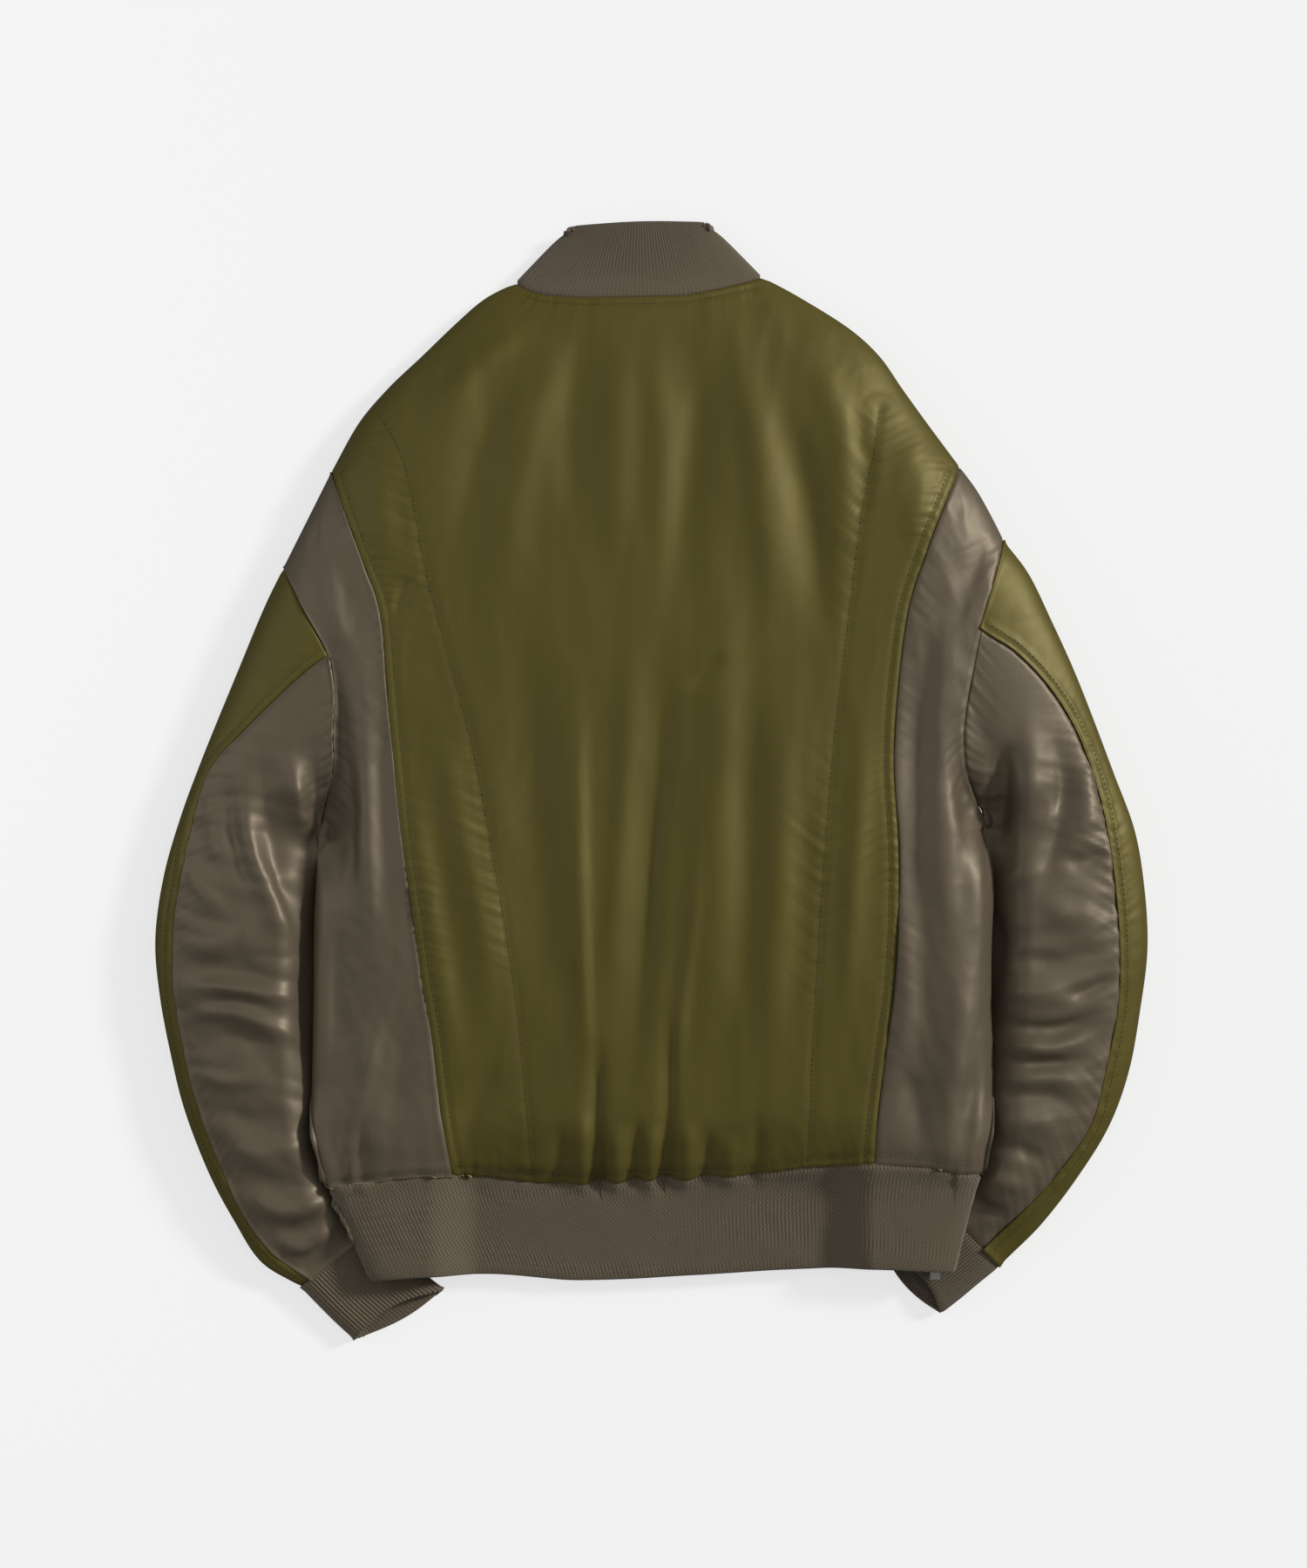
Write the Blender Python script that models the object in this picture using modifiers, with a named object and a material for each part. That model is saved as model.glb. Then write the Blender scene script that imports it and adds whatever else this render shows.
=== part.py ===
"""Bomber jacket laid face down: nylon panels, rib knit collar, cuffs and hem, front zip.

Metres, +Z up. +X is the wearer's right, +Y runs to the collar. The floor is z = 0 and the
origin lies under the middle of the jacket's box. Tables and sizes below are in millimetres,
and MM turns them into metres when a mesh is made.
"""

import math
from collections import namedtuple

import bpy

MM = 0.001

# ---- driving sizes, mm ----
WALL = 2.4                # shell, padding and lining together
RIB_WALL = 2.6            # rib knit, two layers
SEAM_GAP = 1.0            # between the edges of two panels at a seam
HEM_GAP = 1.25            # hem and neck seams, where knit meets nylon
SHOULDER_GAP = 1.6        # wider, because the walls lean together there
ARMHOLE_STEP = 0.42       # each side of the armhole seam keeps this clear
CORNER_LIFT = 17.0        # the hem corners lie over the sleeve ends
LIFT_FROM = 122.0
LIFT_REACH = 36.0
EDGE_ROUND = 34.0         # how far the rounded side reaches under the body
SHOULDER_SPREAD = 75.0    # the top rises to full height this far in from its edge
SLEEVE_OUTER_SPREAD = 52.0
SLEEVE_INNER_SPREAD = 62.0
CUFF_HEIGHT = 15.0
CUFF_SPREAD = 14.0
COLLAR_STAND = 54.0       # rib height at the centre front
FRONT_NECK_Y = 262.0      # bottom of the front neckline
NECK_DROP_SHARE = 0.12
NECK_LEFT = (-97.0, 353.0)
NECK_RIGHT = (79.0, 357.0)

# ---- zip sizes, mm ----
ZIP_EDGE = 9.5            # half the width between the front edges
ZIP_RAISE = 2.6           # the front edges stand this high to clear the slider
ZIP_RAISE_REACH = 24.0
CHAIN_HALF = 3.0
CHAIN_LOW, CHAIN_HIGH = 4.1, 7.3
TAPE_LOW, TAPE_HIGH = 5.5, 6.3
TAPE_OUTER = 19.0
ZIP_TOP_Y = 250.0
ZIP_FOOT_Y = -340.0
SLIDER_HALF = 5.0
SLIDER_LENGTH = 12.0
PLATE = 1.4
PULL_AXIS_Z = 1.0
PULL_AXIS_Y = ZIP_TOP_Y - 3.0
PULL_LENGTH = 34.0
PULL_HALF = 3.2
PULL_THICK = 1.1
PIN_RADIUS = 0.5
LUG_HALF = 0.9
LUG_HOLE = 0.85

# ---- tables, mm ----
# One row for each station up the back panel: its left and right edge points.
Station = namedtuple("Station", "left_x left_y right_x right_y")
BACK = [
    Station(-139, -280, 156, -271),
    Station(-147, -240, 158.5, -238),
    Station(-154, -182, 165, -185),
    Station(-161, -140, 170, -146),
    Station(-166.5, -100, 173, -98),
    Station(-175, -41, 173, -45),
    Station(-182, 22, 170, 10),
    Station(-186, 65, 172.5, 60),
    Station(-191, 117, 180, 118),
    Station(-202, 150, 193, 160),
    Station(-216, 187, 206, 193),
    Station(-227, 219, 219, 222),
    Station(-208, 253, 196, 253),
    Station(-187, 278, 178, 278),
    Station(-163, 301, 162, 301),
    Station(-137, 326, 140, 321),
    Station(-118, 342, 105, 343),
    Station(-97, 353, 79, 357),
]
SHOULDER_ROW = 11
WRAP_REACH = [3.0, 9.0, 13.0, 14.0]   # how far each station wraps under the shoulder edge
WRAP_SHARES = [0.3, 1]

# The height of the hem seam along the jacket, and of the back neckline.
Point = namedtuple("Point", "x y")
HEM_SEAM = [
    Point(-245, -290), Point(-228, -288), Point(-203, -285), Point(-166, -280), Point(-139, -280),
    Point(-66, -286), Point(8, -282), Point(69, -280), Point(115, -274), Point(156, -271),
    Point(192, -272.5), Point(214, -276), Point(233, -278), Point(245, -279),
]
NECKLINE = [
    Point(-97, 353), Point(-87, 346.5), Point(-73, 343), Point(-45, 341), Point(12, 342),
    Point(40, 346), Point(61, 351), Point(79, 357),
]

# Across the jacket by height: its left and right edges, the height of the edge fold and the
# height of the cloth in the middle.
Level = namedtuple("Level", "y left right fold crown")
LOWER = [
    Level(-358, -199, 215, 7, 13), Level(-342, -205, 219, 7, 14), Level(-310, -216, 225, 8, 17),
    Level(-288, -228, 233, 10, 20), Level(-270, -234, 236, 17, 32), Level(-235, -240, 241, 23, 42),
    Level(-130, -238, 240, 25, 46), Level(-74, -237, 242, 25, 47), Level(-20, -236, 238, 25, 47),
    Level(60, -236, 238, 25, 47),
]
UPPER = [
    Level(-90, -352, 352, 12, 46), Level(-41, -339, 345, 12, 46), Level(10, -322, 326, 12, 47),
    Level(66, -298, 305, 12, 47), Level(128, -272, 277, 12, 46), Level(170, -252, 250, 11, 45),
    Level(221, -227, 219, 11, 43), Level(253, -208, 196, 11, 41), Level(278, -187, 178, 11, 38),
    Level(301, -163, 162, 10, 35), Level(326, -137, 136, 10, 30), Level(343, -117, 105, 10, 25),
    Level(357, -94, 79, 10, 21), Level(400, -56, 40, 8, 17),
]

# The armhole seam from the armpit up to the outer edge, with the height of the back seam's
# point on the same station of the side panel.
Armhole = namedtuple("Armhole", "x y seam_y")
ARMHOLE_LEFT = [
    Armhole(-236, -41, -41), Armhole(-229, -12, -10), Armhole(-224, 10, 22),
    Armhole(-224, 34, 42), Armhole(-223, 60, 65), Armhole(-227, 87, 90),
    Armhole(-244, 119, 117), Armhole(-261, 151, 150),
]
ARMHOLE_RIGHT = [
    Armhole(238, -32, -45), Armhole(229, -13, -15), Armhole(221, 8, 10),
    Armhole(219, 33, 36), Armhole(222, 58, 60), Armhole(227, 82, 88),
    Armhole(232, 106, 118), Armhole(241, 138, 139), Armhole(250, 170, 160),
]
# Side panel stations under the armpit and above the armhole: seam height and edge point.
Side = namedtuple("Side", "seam_y edge_x edge_y")
SIDE_LEFT_LOW = [
    Side(-280, -228, -288), Side(-262, -235, -266), Side(-240, -240, -240),
    Side(-182, -239, -182), Side(-140, -238.5, -140), Side(-100, -238, -102), Side(-70, -237, -72),
]
SIDE_LEFT_HIGH = [
    Side(168, -252, 169), Side(187, -240, 193), Side(210, -230.5, 212),
]
SIDE_RIGHT_LOW = [
    Side(-271, 233, -278), Side(-256, 238, -259), Side(-238, 241, -238),
    Side(-185, 241, -185), Side(-146, 240, -146), Side(-98, 241, -100), Side(-70, 242, -70),
]
SIDE_RIGHT_HIGH = [
    Side(176, 242, 186), Side(193, 232, 204), Side(212, 223.5, 216),
]

# One row for each station down a sleeve: outer edge, colour seam, inner edge, and the height of
# the cloth there.
Cuffward = namedtuple("Cuffward", "outer_x outer_y seam_x seam_y inner_x inner_y crown")
SLEEVE_LEFT = [
    Cuffward(-261, 151, -227, 87, -226.5, 86, 42), Cuffward(-275, 122, -239, 79, -223, 60, 42),
    Cuffward(-294, 76, -263, 57.5, -224, 34, 42), Cuffward(-308, 42, -287, 34, -224, 10, 42),
    Cuffward(-320, 12, -310, 9.6, -229, -12, 41), Cuffward(-334, -26, -324.5, -27.5, -236, -41, 40),
    Cuffward(-346, -68, -332, -68.5, -233, -72, 39), Cuffward(-352, -112, -338, -112, -230, -112, 39),
    Cuffward(-349, -152, -337, -152, -228, -155, 38), Cuffward(-341, -195, -330, -194.5, -227, -195, 37),
    Cuffward(-331, -235, -319, -234, -225, -232, 36), Cuffward(-314, -279, -303, -277, -219, -264, 35),
    Cuffward(-296, -313, -287, -310, -212, -288, 32), Cuffward(-277, -342, -267, -337, -203, -305, 25),
    Cuffward(-248, -361, -241, -355, -195, -318, 16),
]
SLEEVE_RIGHT = [
    Cuffward(250, 170, 232, 106, 231.7, 105, 42), Cuffward(268, 146, 239, 101, 227, 82, 42),
    Cuffward(284, 113, 257, 89.5, 222, 58, 42), Cuffward(299, 80, 278.5, 67.5, 219, 33, 42),
    Cuffward(313, 45, 297.5, 38.8, 221, 8, 41), Cuffward(328, 5, 312.3, 2.1, 229, -13, 40),
    Cuffward(343, -36, 321, -35, 238, -32, 40), Cuffward(350, -78, 327, -77, 234.5, -72, 39),
    Cuffward(352, -120, 330, -119, 233.5, -112, 39), Cuffward(347, -162, 329, -160, 232, -152, 38),
    Cuffward(339, -206, 321, -202, 231, -190, 37), Cuffward(325, -245, 311, -241.5, 228, -222, 36),
    Cuffward(303, -281, 289, -275.5, 225, -251, 34), Cuffward(277, -315, 262.5, -305.3, 219, -277, 27),
    Cuffward(247, -346, 236, -332, 208, -306, 16),
]
# Cuff stations from the sleeve to the mouth: outer and inner edge.
Cuff = namedtuple("Cuff", "outer_x outer_y inner_x inner_y")
CUFF_LEFT = [
    Cuff(-247.5, -362, -194.5, -319), Cuff(-237, -373, -179, -334), Cuff(-224, -386, -164, -349),
    Cuff(-211, -398, -148, -362),
]
CUFF_RIGHT = [
    Cuff(246.5, -347, 207, -307), Cuff(233, -358, 194, -318), Cuff(220, -369, 181, -328),
    Cuff(206, -380, 166, -338),
]

Finish = namedtuple("Finish", "colour roughness metallic")
OLIVE = Finish((0.098, 0.082, 0.026), 0.42, 0.0)
TAUPE = Finish((0.127, 0.102, 0.076), 0.42, 0.0)
KNIT = Finish((0.112, 0.088, 0.058), 0.9, 0.0)
TAPE = Finish((0.08, 0.07, 0.04), 0.85, 0.0)
METAL = Finish((0.35, 0.33, 0.29), 0.35, 1.0)


# ---- curves ----

def ease(t):
    """A smooth step from 0 to 1."""
    t = min(max(t, 0.0), 1.0)
    return t * t * (3 - 2 * t)


def mix(a, b, t):
    return a + (b - a) * t


def bell(distance, reach):
    return math.exp(-((distance / reach) ** 2))


def dome(t):
    """A quarter circle: steep at its foot, level at its top."""
    t = min(max(t, 0.0), 1.0)
    return math.sqrt(1 - (1 - t) ** 2)


def read(table, key, column, at):
    """The value of a column where the key column has this value, on straight lines."""
    rows = sorted(table, key=lambda row: getattr(row, key))
    low = rows[0]
    if at <= getattr(low, key):
        return getattr(low, column)
    for high in rows[1:]:
        if at <= getattr(high, key):
            span = getattr(high, key) - getattr(low, key)
            return mix(getattr(low, column), getattr(high, column), (at - getattr(low, key)) / span)
        low = high
    return getattr(low, column)


def hem_y(x):
    return read(HEM_SEAM, "x", "y", x)


def neck_y(x):
    return read(NECKLINE, "x", "y", x)


# ---- heights of the cloth ----

def corner_lift(x, y):
    """The hem corners and the body sides above them lie over the sleeve ends."""
    outward = -LIFT_FROM - x if x < 0 else x - LIFT_FROM
    return CORNER_LIFT * ease(outward / LIFT_REACH) * ease((-212 - y) / 50)


def level_height(table, x, y):
    """Height of the upper layer, rising from the edge fold to the middle."""
    left = read(table, "y", "left", y)
    right = read(table, "y", "right", y)
    fold = read(table, "y", "fold", y)
    crown = read(table, "y", "crown", y) * (1 - 0.13 * (x / 230) ** 2)
    inward = min(x - left, right - x)
    return fold + (crown - fold) * dome(inward / SHOULDER_SPREAD)


def top(x, y):
    """Height of the body's upper layer, which is also the sleeve's near the armhole."""
    lower = level_height(LOWER, x, y)
    upper = level_height(UPPER, x, y)
    blended = mix(lower, upper, ease((y + 62) / 90))
    thin = min(1.0, max(0.0, (48 - blended) / 35))
    return blended + corner_lift(x, y) * thin


def under(x, y):
    """Height of the body's lower layer, flat but for its rounded sides and the zip channel."""
    table = LOWER if y < -35 else UPPER
    fold = read(table, "y", "fold", y)
    inward = min(x - read(table, "y", "left", y), read(table, "y", "right", y) - x)
    reach = EDGE_ROUND if y < 130 else 22
    side = fold * (1 - dome(inward / reach))
    channel = ZIP_RAISE * (1 - ease((abs(x) - ZIP_EDGE) / ZIP_RAISE_REACH))
    return max(side, channel) + corner_lift(x, y)


def armpit_y(x):
    return (ARMHOLE_LEFT if x < 0 else ARMHOLE_RIGHT)[0].y


def armhole_top(x, y):
    """Height of the armhole seam on the upper layer, low in the hollow of the armpit."""
    return mix(top(x, y), 19.0, bell(y - armpit_y(x), 34))


def armhole_under(x, y):
    return 15.0 * bell(y - armpit_y(x), 26)


# ---- meshes ----

def material_of(name, finish):
    material = bpy.data.materials.new(name + "_finish")
    material.use_nodes = True
    shader = material.node_tree.nodes["Principled BSDF"]
    shader.inputs["Base Color"].default_value = (*finish.colour, 1)
    shader.inputs["Roughness"].default_value = finish.roughness
    shader.inputs["Metallic"].default_value = finish.metallic
    material.diffuse_color = (*finish.colour, 1)
    return material


def add_object(name, mesh, finish, parts):
    piece = bpy.data.objects.new(name, mesh)
    parts.objects.link(piece)
    mesh.materials.append(material_of(name, finish))
    return piece


def cloth(name, rows, finish, parts, wall=WALL, closed=False):
    """A wall of cloth through rows of points given on its outer face, in mm.

    A None in a row leaves a hole there. Each row runs the same way round, so that the outer
    face looks outwards, and Solidify gives the wall its thickness inwards.
    """
    index = {}
    points = []
    for r, row in enumerate(rows):
        for c, point in enumerate(row):
            if point is not None:
                index[r, c] = len(points)
                points.append([value * MM for value in point])
    width = len(rows[0])
    faces = []
    for r in range(len(rows) - 1):
        for c in range(width if closed else width - 1):
            corners = [(r, c), (r, (c + 1) % width), (r + 1, (c + 1) % width), (r + 1, c)]
            if all(corner in index for corner in corners):
                faces.append([index[corner] for corner in corners])
    mesh = bpy.data.meshes.new(name)
    mesh.from_pydata(points, [], faces)
    mesh.shade_smooth()
    piece = add_object(name, mesh, finish, parts)
    solidify = piece.modifiers.new("wall", "SOLIDIFY")
    solidify.thickness = wall * MM
    solidify.offset = -1
    return piece


# ---- body panels ----

BACK_COLUMNS = [0, 0.02, 0.06, 0.13, 0.22, 0.32, 0.42, 0.5, 0.58, 0.68, 0.78, 0.87, 0.94, 0.98, 1]


def straight(start, end, t):
    return mix(start[0], end[0], t), mix(start[1], end[1], t)


def wrap_point(station, number, side, extra=0.0, share=1.0):
    """A point of the shoulder seam, which lies on the lower layer just in from the edge."""
    reach = (WRAP_REACH[min(number - SHOULDER_ROW, len(WRAP_REACH) - 1)] + extra) * share
    climb = (number - SHOULDER_ROW) / (len(BACK) - 1 - SHOULDER_ROW)
    across = mix(0.8, 0.03, climb)
    down = mix(0.6, 1.0, climb)
    if side < 0:
        return station.left_x + across * reach, station.left_y - down * reach
    return station.right_x - across * reach, station.right_y - down * reach


def back_panel(parts):
    rows = []
    neck = BACK[-1]
    for number, station in enumerate(BACK):
        from_neck = len(BACK) - 1 - number
        row = []
        for t in BACK_COLUMNS:
            gap = SEAM_GAP / 2 * (1 - 2 * t)
            x = mix(station.left_x, station.right_x, t) + gap
            y = mix(station.left_y, station.right_y, t)
            dip = neck_y(mix(neck.left_x, neck.right_x, t)) - mix(neck.left_y, neck.right_y, t)
            y += dip * max(0.0, 1 - from_neck / 5)
            if number == 0:
                y = hem_y(x)
            row.append((x, y, top(x, y)))
        for side in (-1, 1):
            wrapped = [None] * len(WRAP_SHARES)
            if number >= SHOULDER_ROW:
                flat = [wrap_point(station, number, side, share=share) for share in WRAP_SHARES]
                wrapped = [(x, y, under(x, y)) for x, y in flat]
            row = wrapped[::-1] + row if side < 0 else row + wrapped
        rows.append(row)
    cloth("back_panel", rows, OLIVE, parts)


def scoop(side, t, centre_x, edge_x, edge_y, foot_y):
    """A quarter oval from a shoulder point, at 0, down to the centre front, at 1."""
    turn = t * math.pi / 2
    x = mix(edge_x, side * centre_x, 1 - math.cos(turn))
    y = mix(edge_y, foot_y, math.sin(turn))
    return x, y


FRONT_COLUMNS = [0, 0.035, 0.1, 0.2, 0.34, 0.5, 0.68, 0.84, 1]


def front_neckline(side, share, edge, centre_x, foot_y):
    """The front neckline: straight down past the shoulder seam, then round to the centre."""
    drop = WRAP_REACH[-1]
    if share < NECK_DROP_SHARE:
        return edge[0], edge[1] - drop * share / NECK_DROP_SHARE
    rest = (share - NECK_DROP_SHARE) / (1 - NECK_DROP_SHARE)
    return scoop(side, rest, centre_x, edge[0], edge[1] - drop, foot_y)


def front_panel(side, parts):
    """side is -1 on the wearer's left and +1 on the right."""
    rows = []
    neck = wrap_point(BACK[-1], len(BACK) - 1, side, SHOULDER_GAP)
    foot = (side * ZIP_EDGE, FRONT_NECK_Y)
    for number, station in enumerate(BACK):
        outer = (station.left_x, station.left_y) if side < 0 else (station.right_x, station.right_y)
        if number >= SHOULDER_ROW:
            outer = wrap_point(station, number, side, SHOULDER_GAP)
        share = number / (len(BACK) - 1)
        centre = (side * ZIP_EDGE, mix(hem_y(side * ZIP_EDGE), FRONT_NECK_Y, share ** 0.85))
        towards_neck = max(0.0, (number - SHOULDER_ROW) / (len(BACK) - 1 - SHOULDER_ROW))
        row = []
        for t in FRONT_COLUMNS:
            x, y = straight(outer, centre, t)
            curved = scoop(side, t, ZIP_EDGE, *neck, FRONT_NECK_Y)
            line = straight(neck, foot, t)
            x += (curved[0] - line[0]) * towards_neck ** 2
            y += (curved[1] - line[1]) * towards_neck ** 2
            if number < SHOULDER_ROW:
                x -= side * SEAM_GAP / 2 * (1 - t)
            if number == 0:
                y = hem_y(x)
            row.append((x, y, under(x, y)))
        rows.append(row if side > 0 else row[::-1])
    cloth("front_left" if side < 0 else "front_right", rows, OLIVE, parts)


TOP_SHARES = [0, 0.3, 0.58, 0.8]
NEAR_EDGE = 2.5
UNDER_STEPS = [2.0, 8.0, 18.0, 32.0]


def side_row(seam, edge, side, open_gap=False, armpit=False, at_hem=False):
    """A station of a side panel, from the back seam over the edge fold to the front seam."""
    seam = (seam[0] + side * SEAM_GAP / 2, seam[1])
    run = math.dist(seam, edge)

    def straight(start, end, share):
        x = mix(start[0], end[0], share)
        return x, hem_y(x) if at_hem else mix(start[1], end[1], share)

    near = 1 - NEAR_EDGE / run
    row = []
    for share in TOP_SHARES:
        x, y = straight(seam, edge, share * near)
        row.append((x, y, top(x, y)))
    if open_gap:
        x, y = straight(seam, edge, 1 - ARMHOLE_STEP / run)
        row.append((x, y, armhole_top(x, y)))
        row.append((x, y, mix(armhole_top(x, y), armhole_under(x, y), 0.5)) if armpit else None)
        row.append((x, y, armhole_under(x, y)))
    else:
        x, y = straight(seam, edge, near)
        row.append((x, y, top(x, y)))
        row.append((*edge, edge_fold(*edge)))
        x, y = straight(seam, edge, 1 - UNDER_STEPS[0] / run)
        row.append((x, y, under(x, y)))
    for step in UNDER_STEPS[1:]:
        x, y = straight(seam, edge, max(0.05, 1 - step / run))
        z = under(x, y)
        if open_gap:
            z = max(z, armhole_under(*edge) * (1 - step / 40))
        row.append((x, y, z))
    low_share = min(0.5, max(0.02, (1 - UNDER_STEPS[-1] / run) / 2))
    x, y = straight(seam, edge, low_share)
    row.append((x, y, under(x, y)))
    row.append((*seam, under(*seam)))
    return row


def edge_fold(x, y):
    table = LOWER if y < -35 else UPPER
    return read(table, "y", "fold", y) + corner_lift(x, y)


def seam_at(side, y):
    """The point of the back seam at a height."""
    if side < 0:
        return read(BACK, "left_y", "left_x", y), y
    return read(BACK, "right_y", "right_x", y), y


def side_panel(side, parts):
    low, holes, high = (
        (SIDE_LEFT_LOW, ARMHOLE_LEFT, SIDE_LEFT_HIGH)
        if side < 0
        else (SIDE_RIGHT_LOW, ARMHOLE_RIGHT, SIDE_RIGHT_HIGH)
    )
    rows = [side_row(seam_at(side, s.seam_y), (s.edge_x, s.edge_y), side, at_hem=s is low[0])
            for s in low]
    for number, hole in enumerate(holes):
        seam, edge = seam_at(side, hole.seam_y), (hole.x, hole.y)
        rows.append(side_row(seam, edge, side, open_gap=number < len(holes) - 1, armpit=number == 0))
    rows += [side_row(seam_at(side, s.seam_y), (s.edge_x, s.edge_y), side) for s in high]
    if side < 0:
        rows = [row[::-1] for row in rows]
    cloth("side_panel_left" if side < 0 else "side_panel_right", rows, TAUPE, parts)


# ---- sleeves ----

def sleeve_own_top(station, x, y, fold, inner_fold):
    """Height of the sleeve's upper layer away from the armhole."""
    outer = math.dist((x, y), (station.outer_x, station.outer_y))
    inner = math.dist((x, y), (station.inner_x, station.inner_y))
    rise = fold + (station.crown - fold) * dome(outer / SLEEVE_OUTER_SPREAD)
    t = min(inner / SLEEVE_INNER_SPREAD, 1.0)
    share = inner_fold / station.crown
    return rise * (share + (1 - share) * math.sin(t * math.pi / 2) ** 1.25)


def cuff_top(inward):
    fold = CUFF_HEIGHT * 0.45
    return fold + (CUFF_HEIGHT - fold) * dome(inward / CUFF_SPREAD)


OUTER_FOLD = 12.0
INNER_FOLD = 6.0
OUTER_STEPS = [3.0, 9.0, 18.0]
BACK_SHARES = [0, 0.2, 0.42, 0.65, 0.84]
ARMPIT_STEP = 3.0           # the sleeve starts lower than the body, to pass beneath its side
FIRST_BACK_STATION = 0.35   # the taupe piece begins just below the corner of its seams


def station_at(side, number):
    """A station of the sleeve, or one between two of them where the number is not whole."""
    stations = SLEEVE_LEFT if side < 0 else SLEEVE_RIGHT
    whole = int(number)
    if whole == number:
        return stations[whole]
    share = number - whole
    return Cuffward(*[mix(a, b, share) for a, b in zip(stations[whole], stations[whole + 1])])


def sleeve_point(side, number, u):
    """A point of the sleeve's upper layer: u is 0 at the outer edge and 1 at the inner one."""
    armpit = sleeve_armpit(side)
    station = station_at(side, number)
    x, y = straight((station.outer_x, station.outer_y), (station.inner_x, station.inner_y), u)
    run = math.dist((station.outer_x, station.outer_y), (station.inner_x, station.inner_y))
    own = sleeve_own_top(station, x, y, OUTER_FOLD, INNER_FOLD)
    if number <= armpit:
        shared = top(x, y)
        if u > 0.999:
            shared = armhole_top(x, y)
        hold = max(1 - ease((number - 2) / (armpit - 2)), ease((u - 0.45) / 0.55))
        return x, y, mix(own, shared, hold)
    if number >= len(SLEEVE_LEFT) - 1:
        return x, y, cuff_top(min(u, 1 - u) * run)
    return x, y, own


def sleeve_armpit(side):
    return 5 if side < 0 else 6


def sleeve_under(side, number, u):
    """A point of the sleeve's lower layer, flat on the floor between its rounded edges."""
    station = station_at(side, number)
    x, y = straight((station.outer_x, station.outer_y), (station.inner_x, station.inner_y), u)
    run = math.dist((station.outer_x, station.outer_y), (station.inner_x, station.inner_y))
    last = number == len(SLEEVE_LEFT) - 1
    fold = CUFF_HEIGHT * 0.45 if last else OUTER_FOLD
    inner_fold = CUFF_HEIGHT * 0.45 if last else INNER_FOLD
    outer_side = fold * (1 - dome(u * run / 18))
    inner_side = inner_fold * (1 - dome((1 - u) * run / 12))
    if number <= sleeve_armpit(side):
        inner_side = armhole_under(x, y) if u > 0.999 else 0.0
    return x, y, max(outer_side, inner_side)


UNDER_SEAM = 0.5          # where the lower seam of the sleeve lies across each station


def sleeve_measures(side, number):
    """How wide a station is, and where the colour seam crosses it."""
    station = station_at(side, number)
    outer = (station.outer_x, station.outer_y)
    run = math.dist(outer, (station.inner_x, station.inner_y))
    seam = math.dist(outer, (station.seam_x, station.seam_y)) / run
    return run, min(seam, 0.985)


def shifted(row, number, side):
    """Moves the first station of a sleeve off the armhole seam."""
    if number:
        return row
    down = (-0.9, -0.45) if side < 0 else (0.93, -0.3)
    step = 2 * ARMHOLE_STEP
    return [None if p is None else (p[0] + down[0] * step, p[1] + down[1] * step, p[2]) for p in row]


def sleeve_outer(side, parts):
    """The olive piece: from the colour seam round the outer edge to the lower seam."""
    rows = []
    for number in range(len(SLEEVE_LEFT)):
        run, seam = sleeve_measures(side, number)
        half_gap = SEAM_GAP / 2 / run
        start = seam - half_gap
        near = min(3.0 / run, start * 0.3)
        row = [sleeve_point(side, number, share) for share in (start, mix(start, near, 0.5), near)]
        x, y, _ = sleeve_point(side, number, 0)
        _, _, fold = sleeve_under(side, number, 0)
        row.append((x, y, fold))
        for step in OUTER_STEPS:
            row.append(sleeve_under(side, number, step / run))
        end = UNDER_SEAM - half_gap
        row.append(sleeve_under(side, number, mix(OUTER_STEPS[-1] / run, end, 0.5)))
        row.append(sleeve_under(side, number, end))
        rows.append(shifted(row, number, side))
    if side < 0:
        rows = [row[::-1] for row in rows]
    cloth("sleeve_outer_left" if side < 0 else "sleeve_outer_right", rows[::-1], OLIVE, parts)


def sleeve_back(side, parts):
    """The taupe piece: from the colour seam over the sleeve and round its inner edge."""
    rows = []
    armpit = sleeve_armpit(side)
    for number in [FIRST_BACK_STATION, *range(1, len(SLEEVE_LEFT))]:
        run, seam = sleeve_measures(side, number)
        half_gap = SEAM_GAP / 2 / run
        start = min(seam + half_gap, 0.975)
        edge = 1 - ARMHOLE_STEP / run if number <= armpit else 1.0
        near = edge if number <= armpit else 1 - 3.0 / run
        row = [sleeve_point(side, number, mix(start, near, share)) for share in BACK_SHARES]
        if number <= armpit:
            x, y, _ = sleeve_point(side, number, near)
            high, low = armhole_top(x, y), armhole_under(x, y)
            if number == armpit:
                high, low = high - ARMPIT_STEP, low - ARMPIT_STEP
            row.append((x, y, high))
            row.append((x, y, mix(high, low, 0.5)) if number == armpit else None)
            row.append((x, y, low))
        else:
            row.append(sleeve_point(side, number, near))
            x, y, _ = sleeve_point(side, number, 1)
            _, _, fold = sleeve_under(side, number, 1)
            row.append((x, y, fold))
            row.append(sleeve_under(side, number, 1 - 2.5 / run))
        for step in (6.0, 13.0):
            row.append(sleeve_under(side, number, 1 - step / run))
        end = UNDER_SEAM + half_gap
        row.append(sleeve_under(side, number, mix(1 - 13.0 / run, end, 0.5)))
        row.append(sleeve_under(side, number, end))
        rows.append(row)
    if side < 0:
        rows = [row[::-1] for row in rows]
    cloth("sleeve_back_left" if side < 0 else "sleeve_back_right", rows, TAUPE, parts)


CUFF_SHARES = [0, 0.05, 0.15, 0.32, 0.5, 0.68, 0.85, 0.95]


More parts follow.
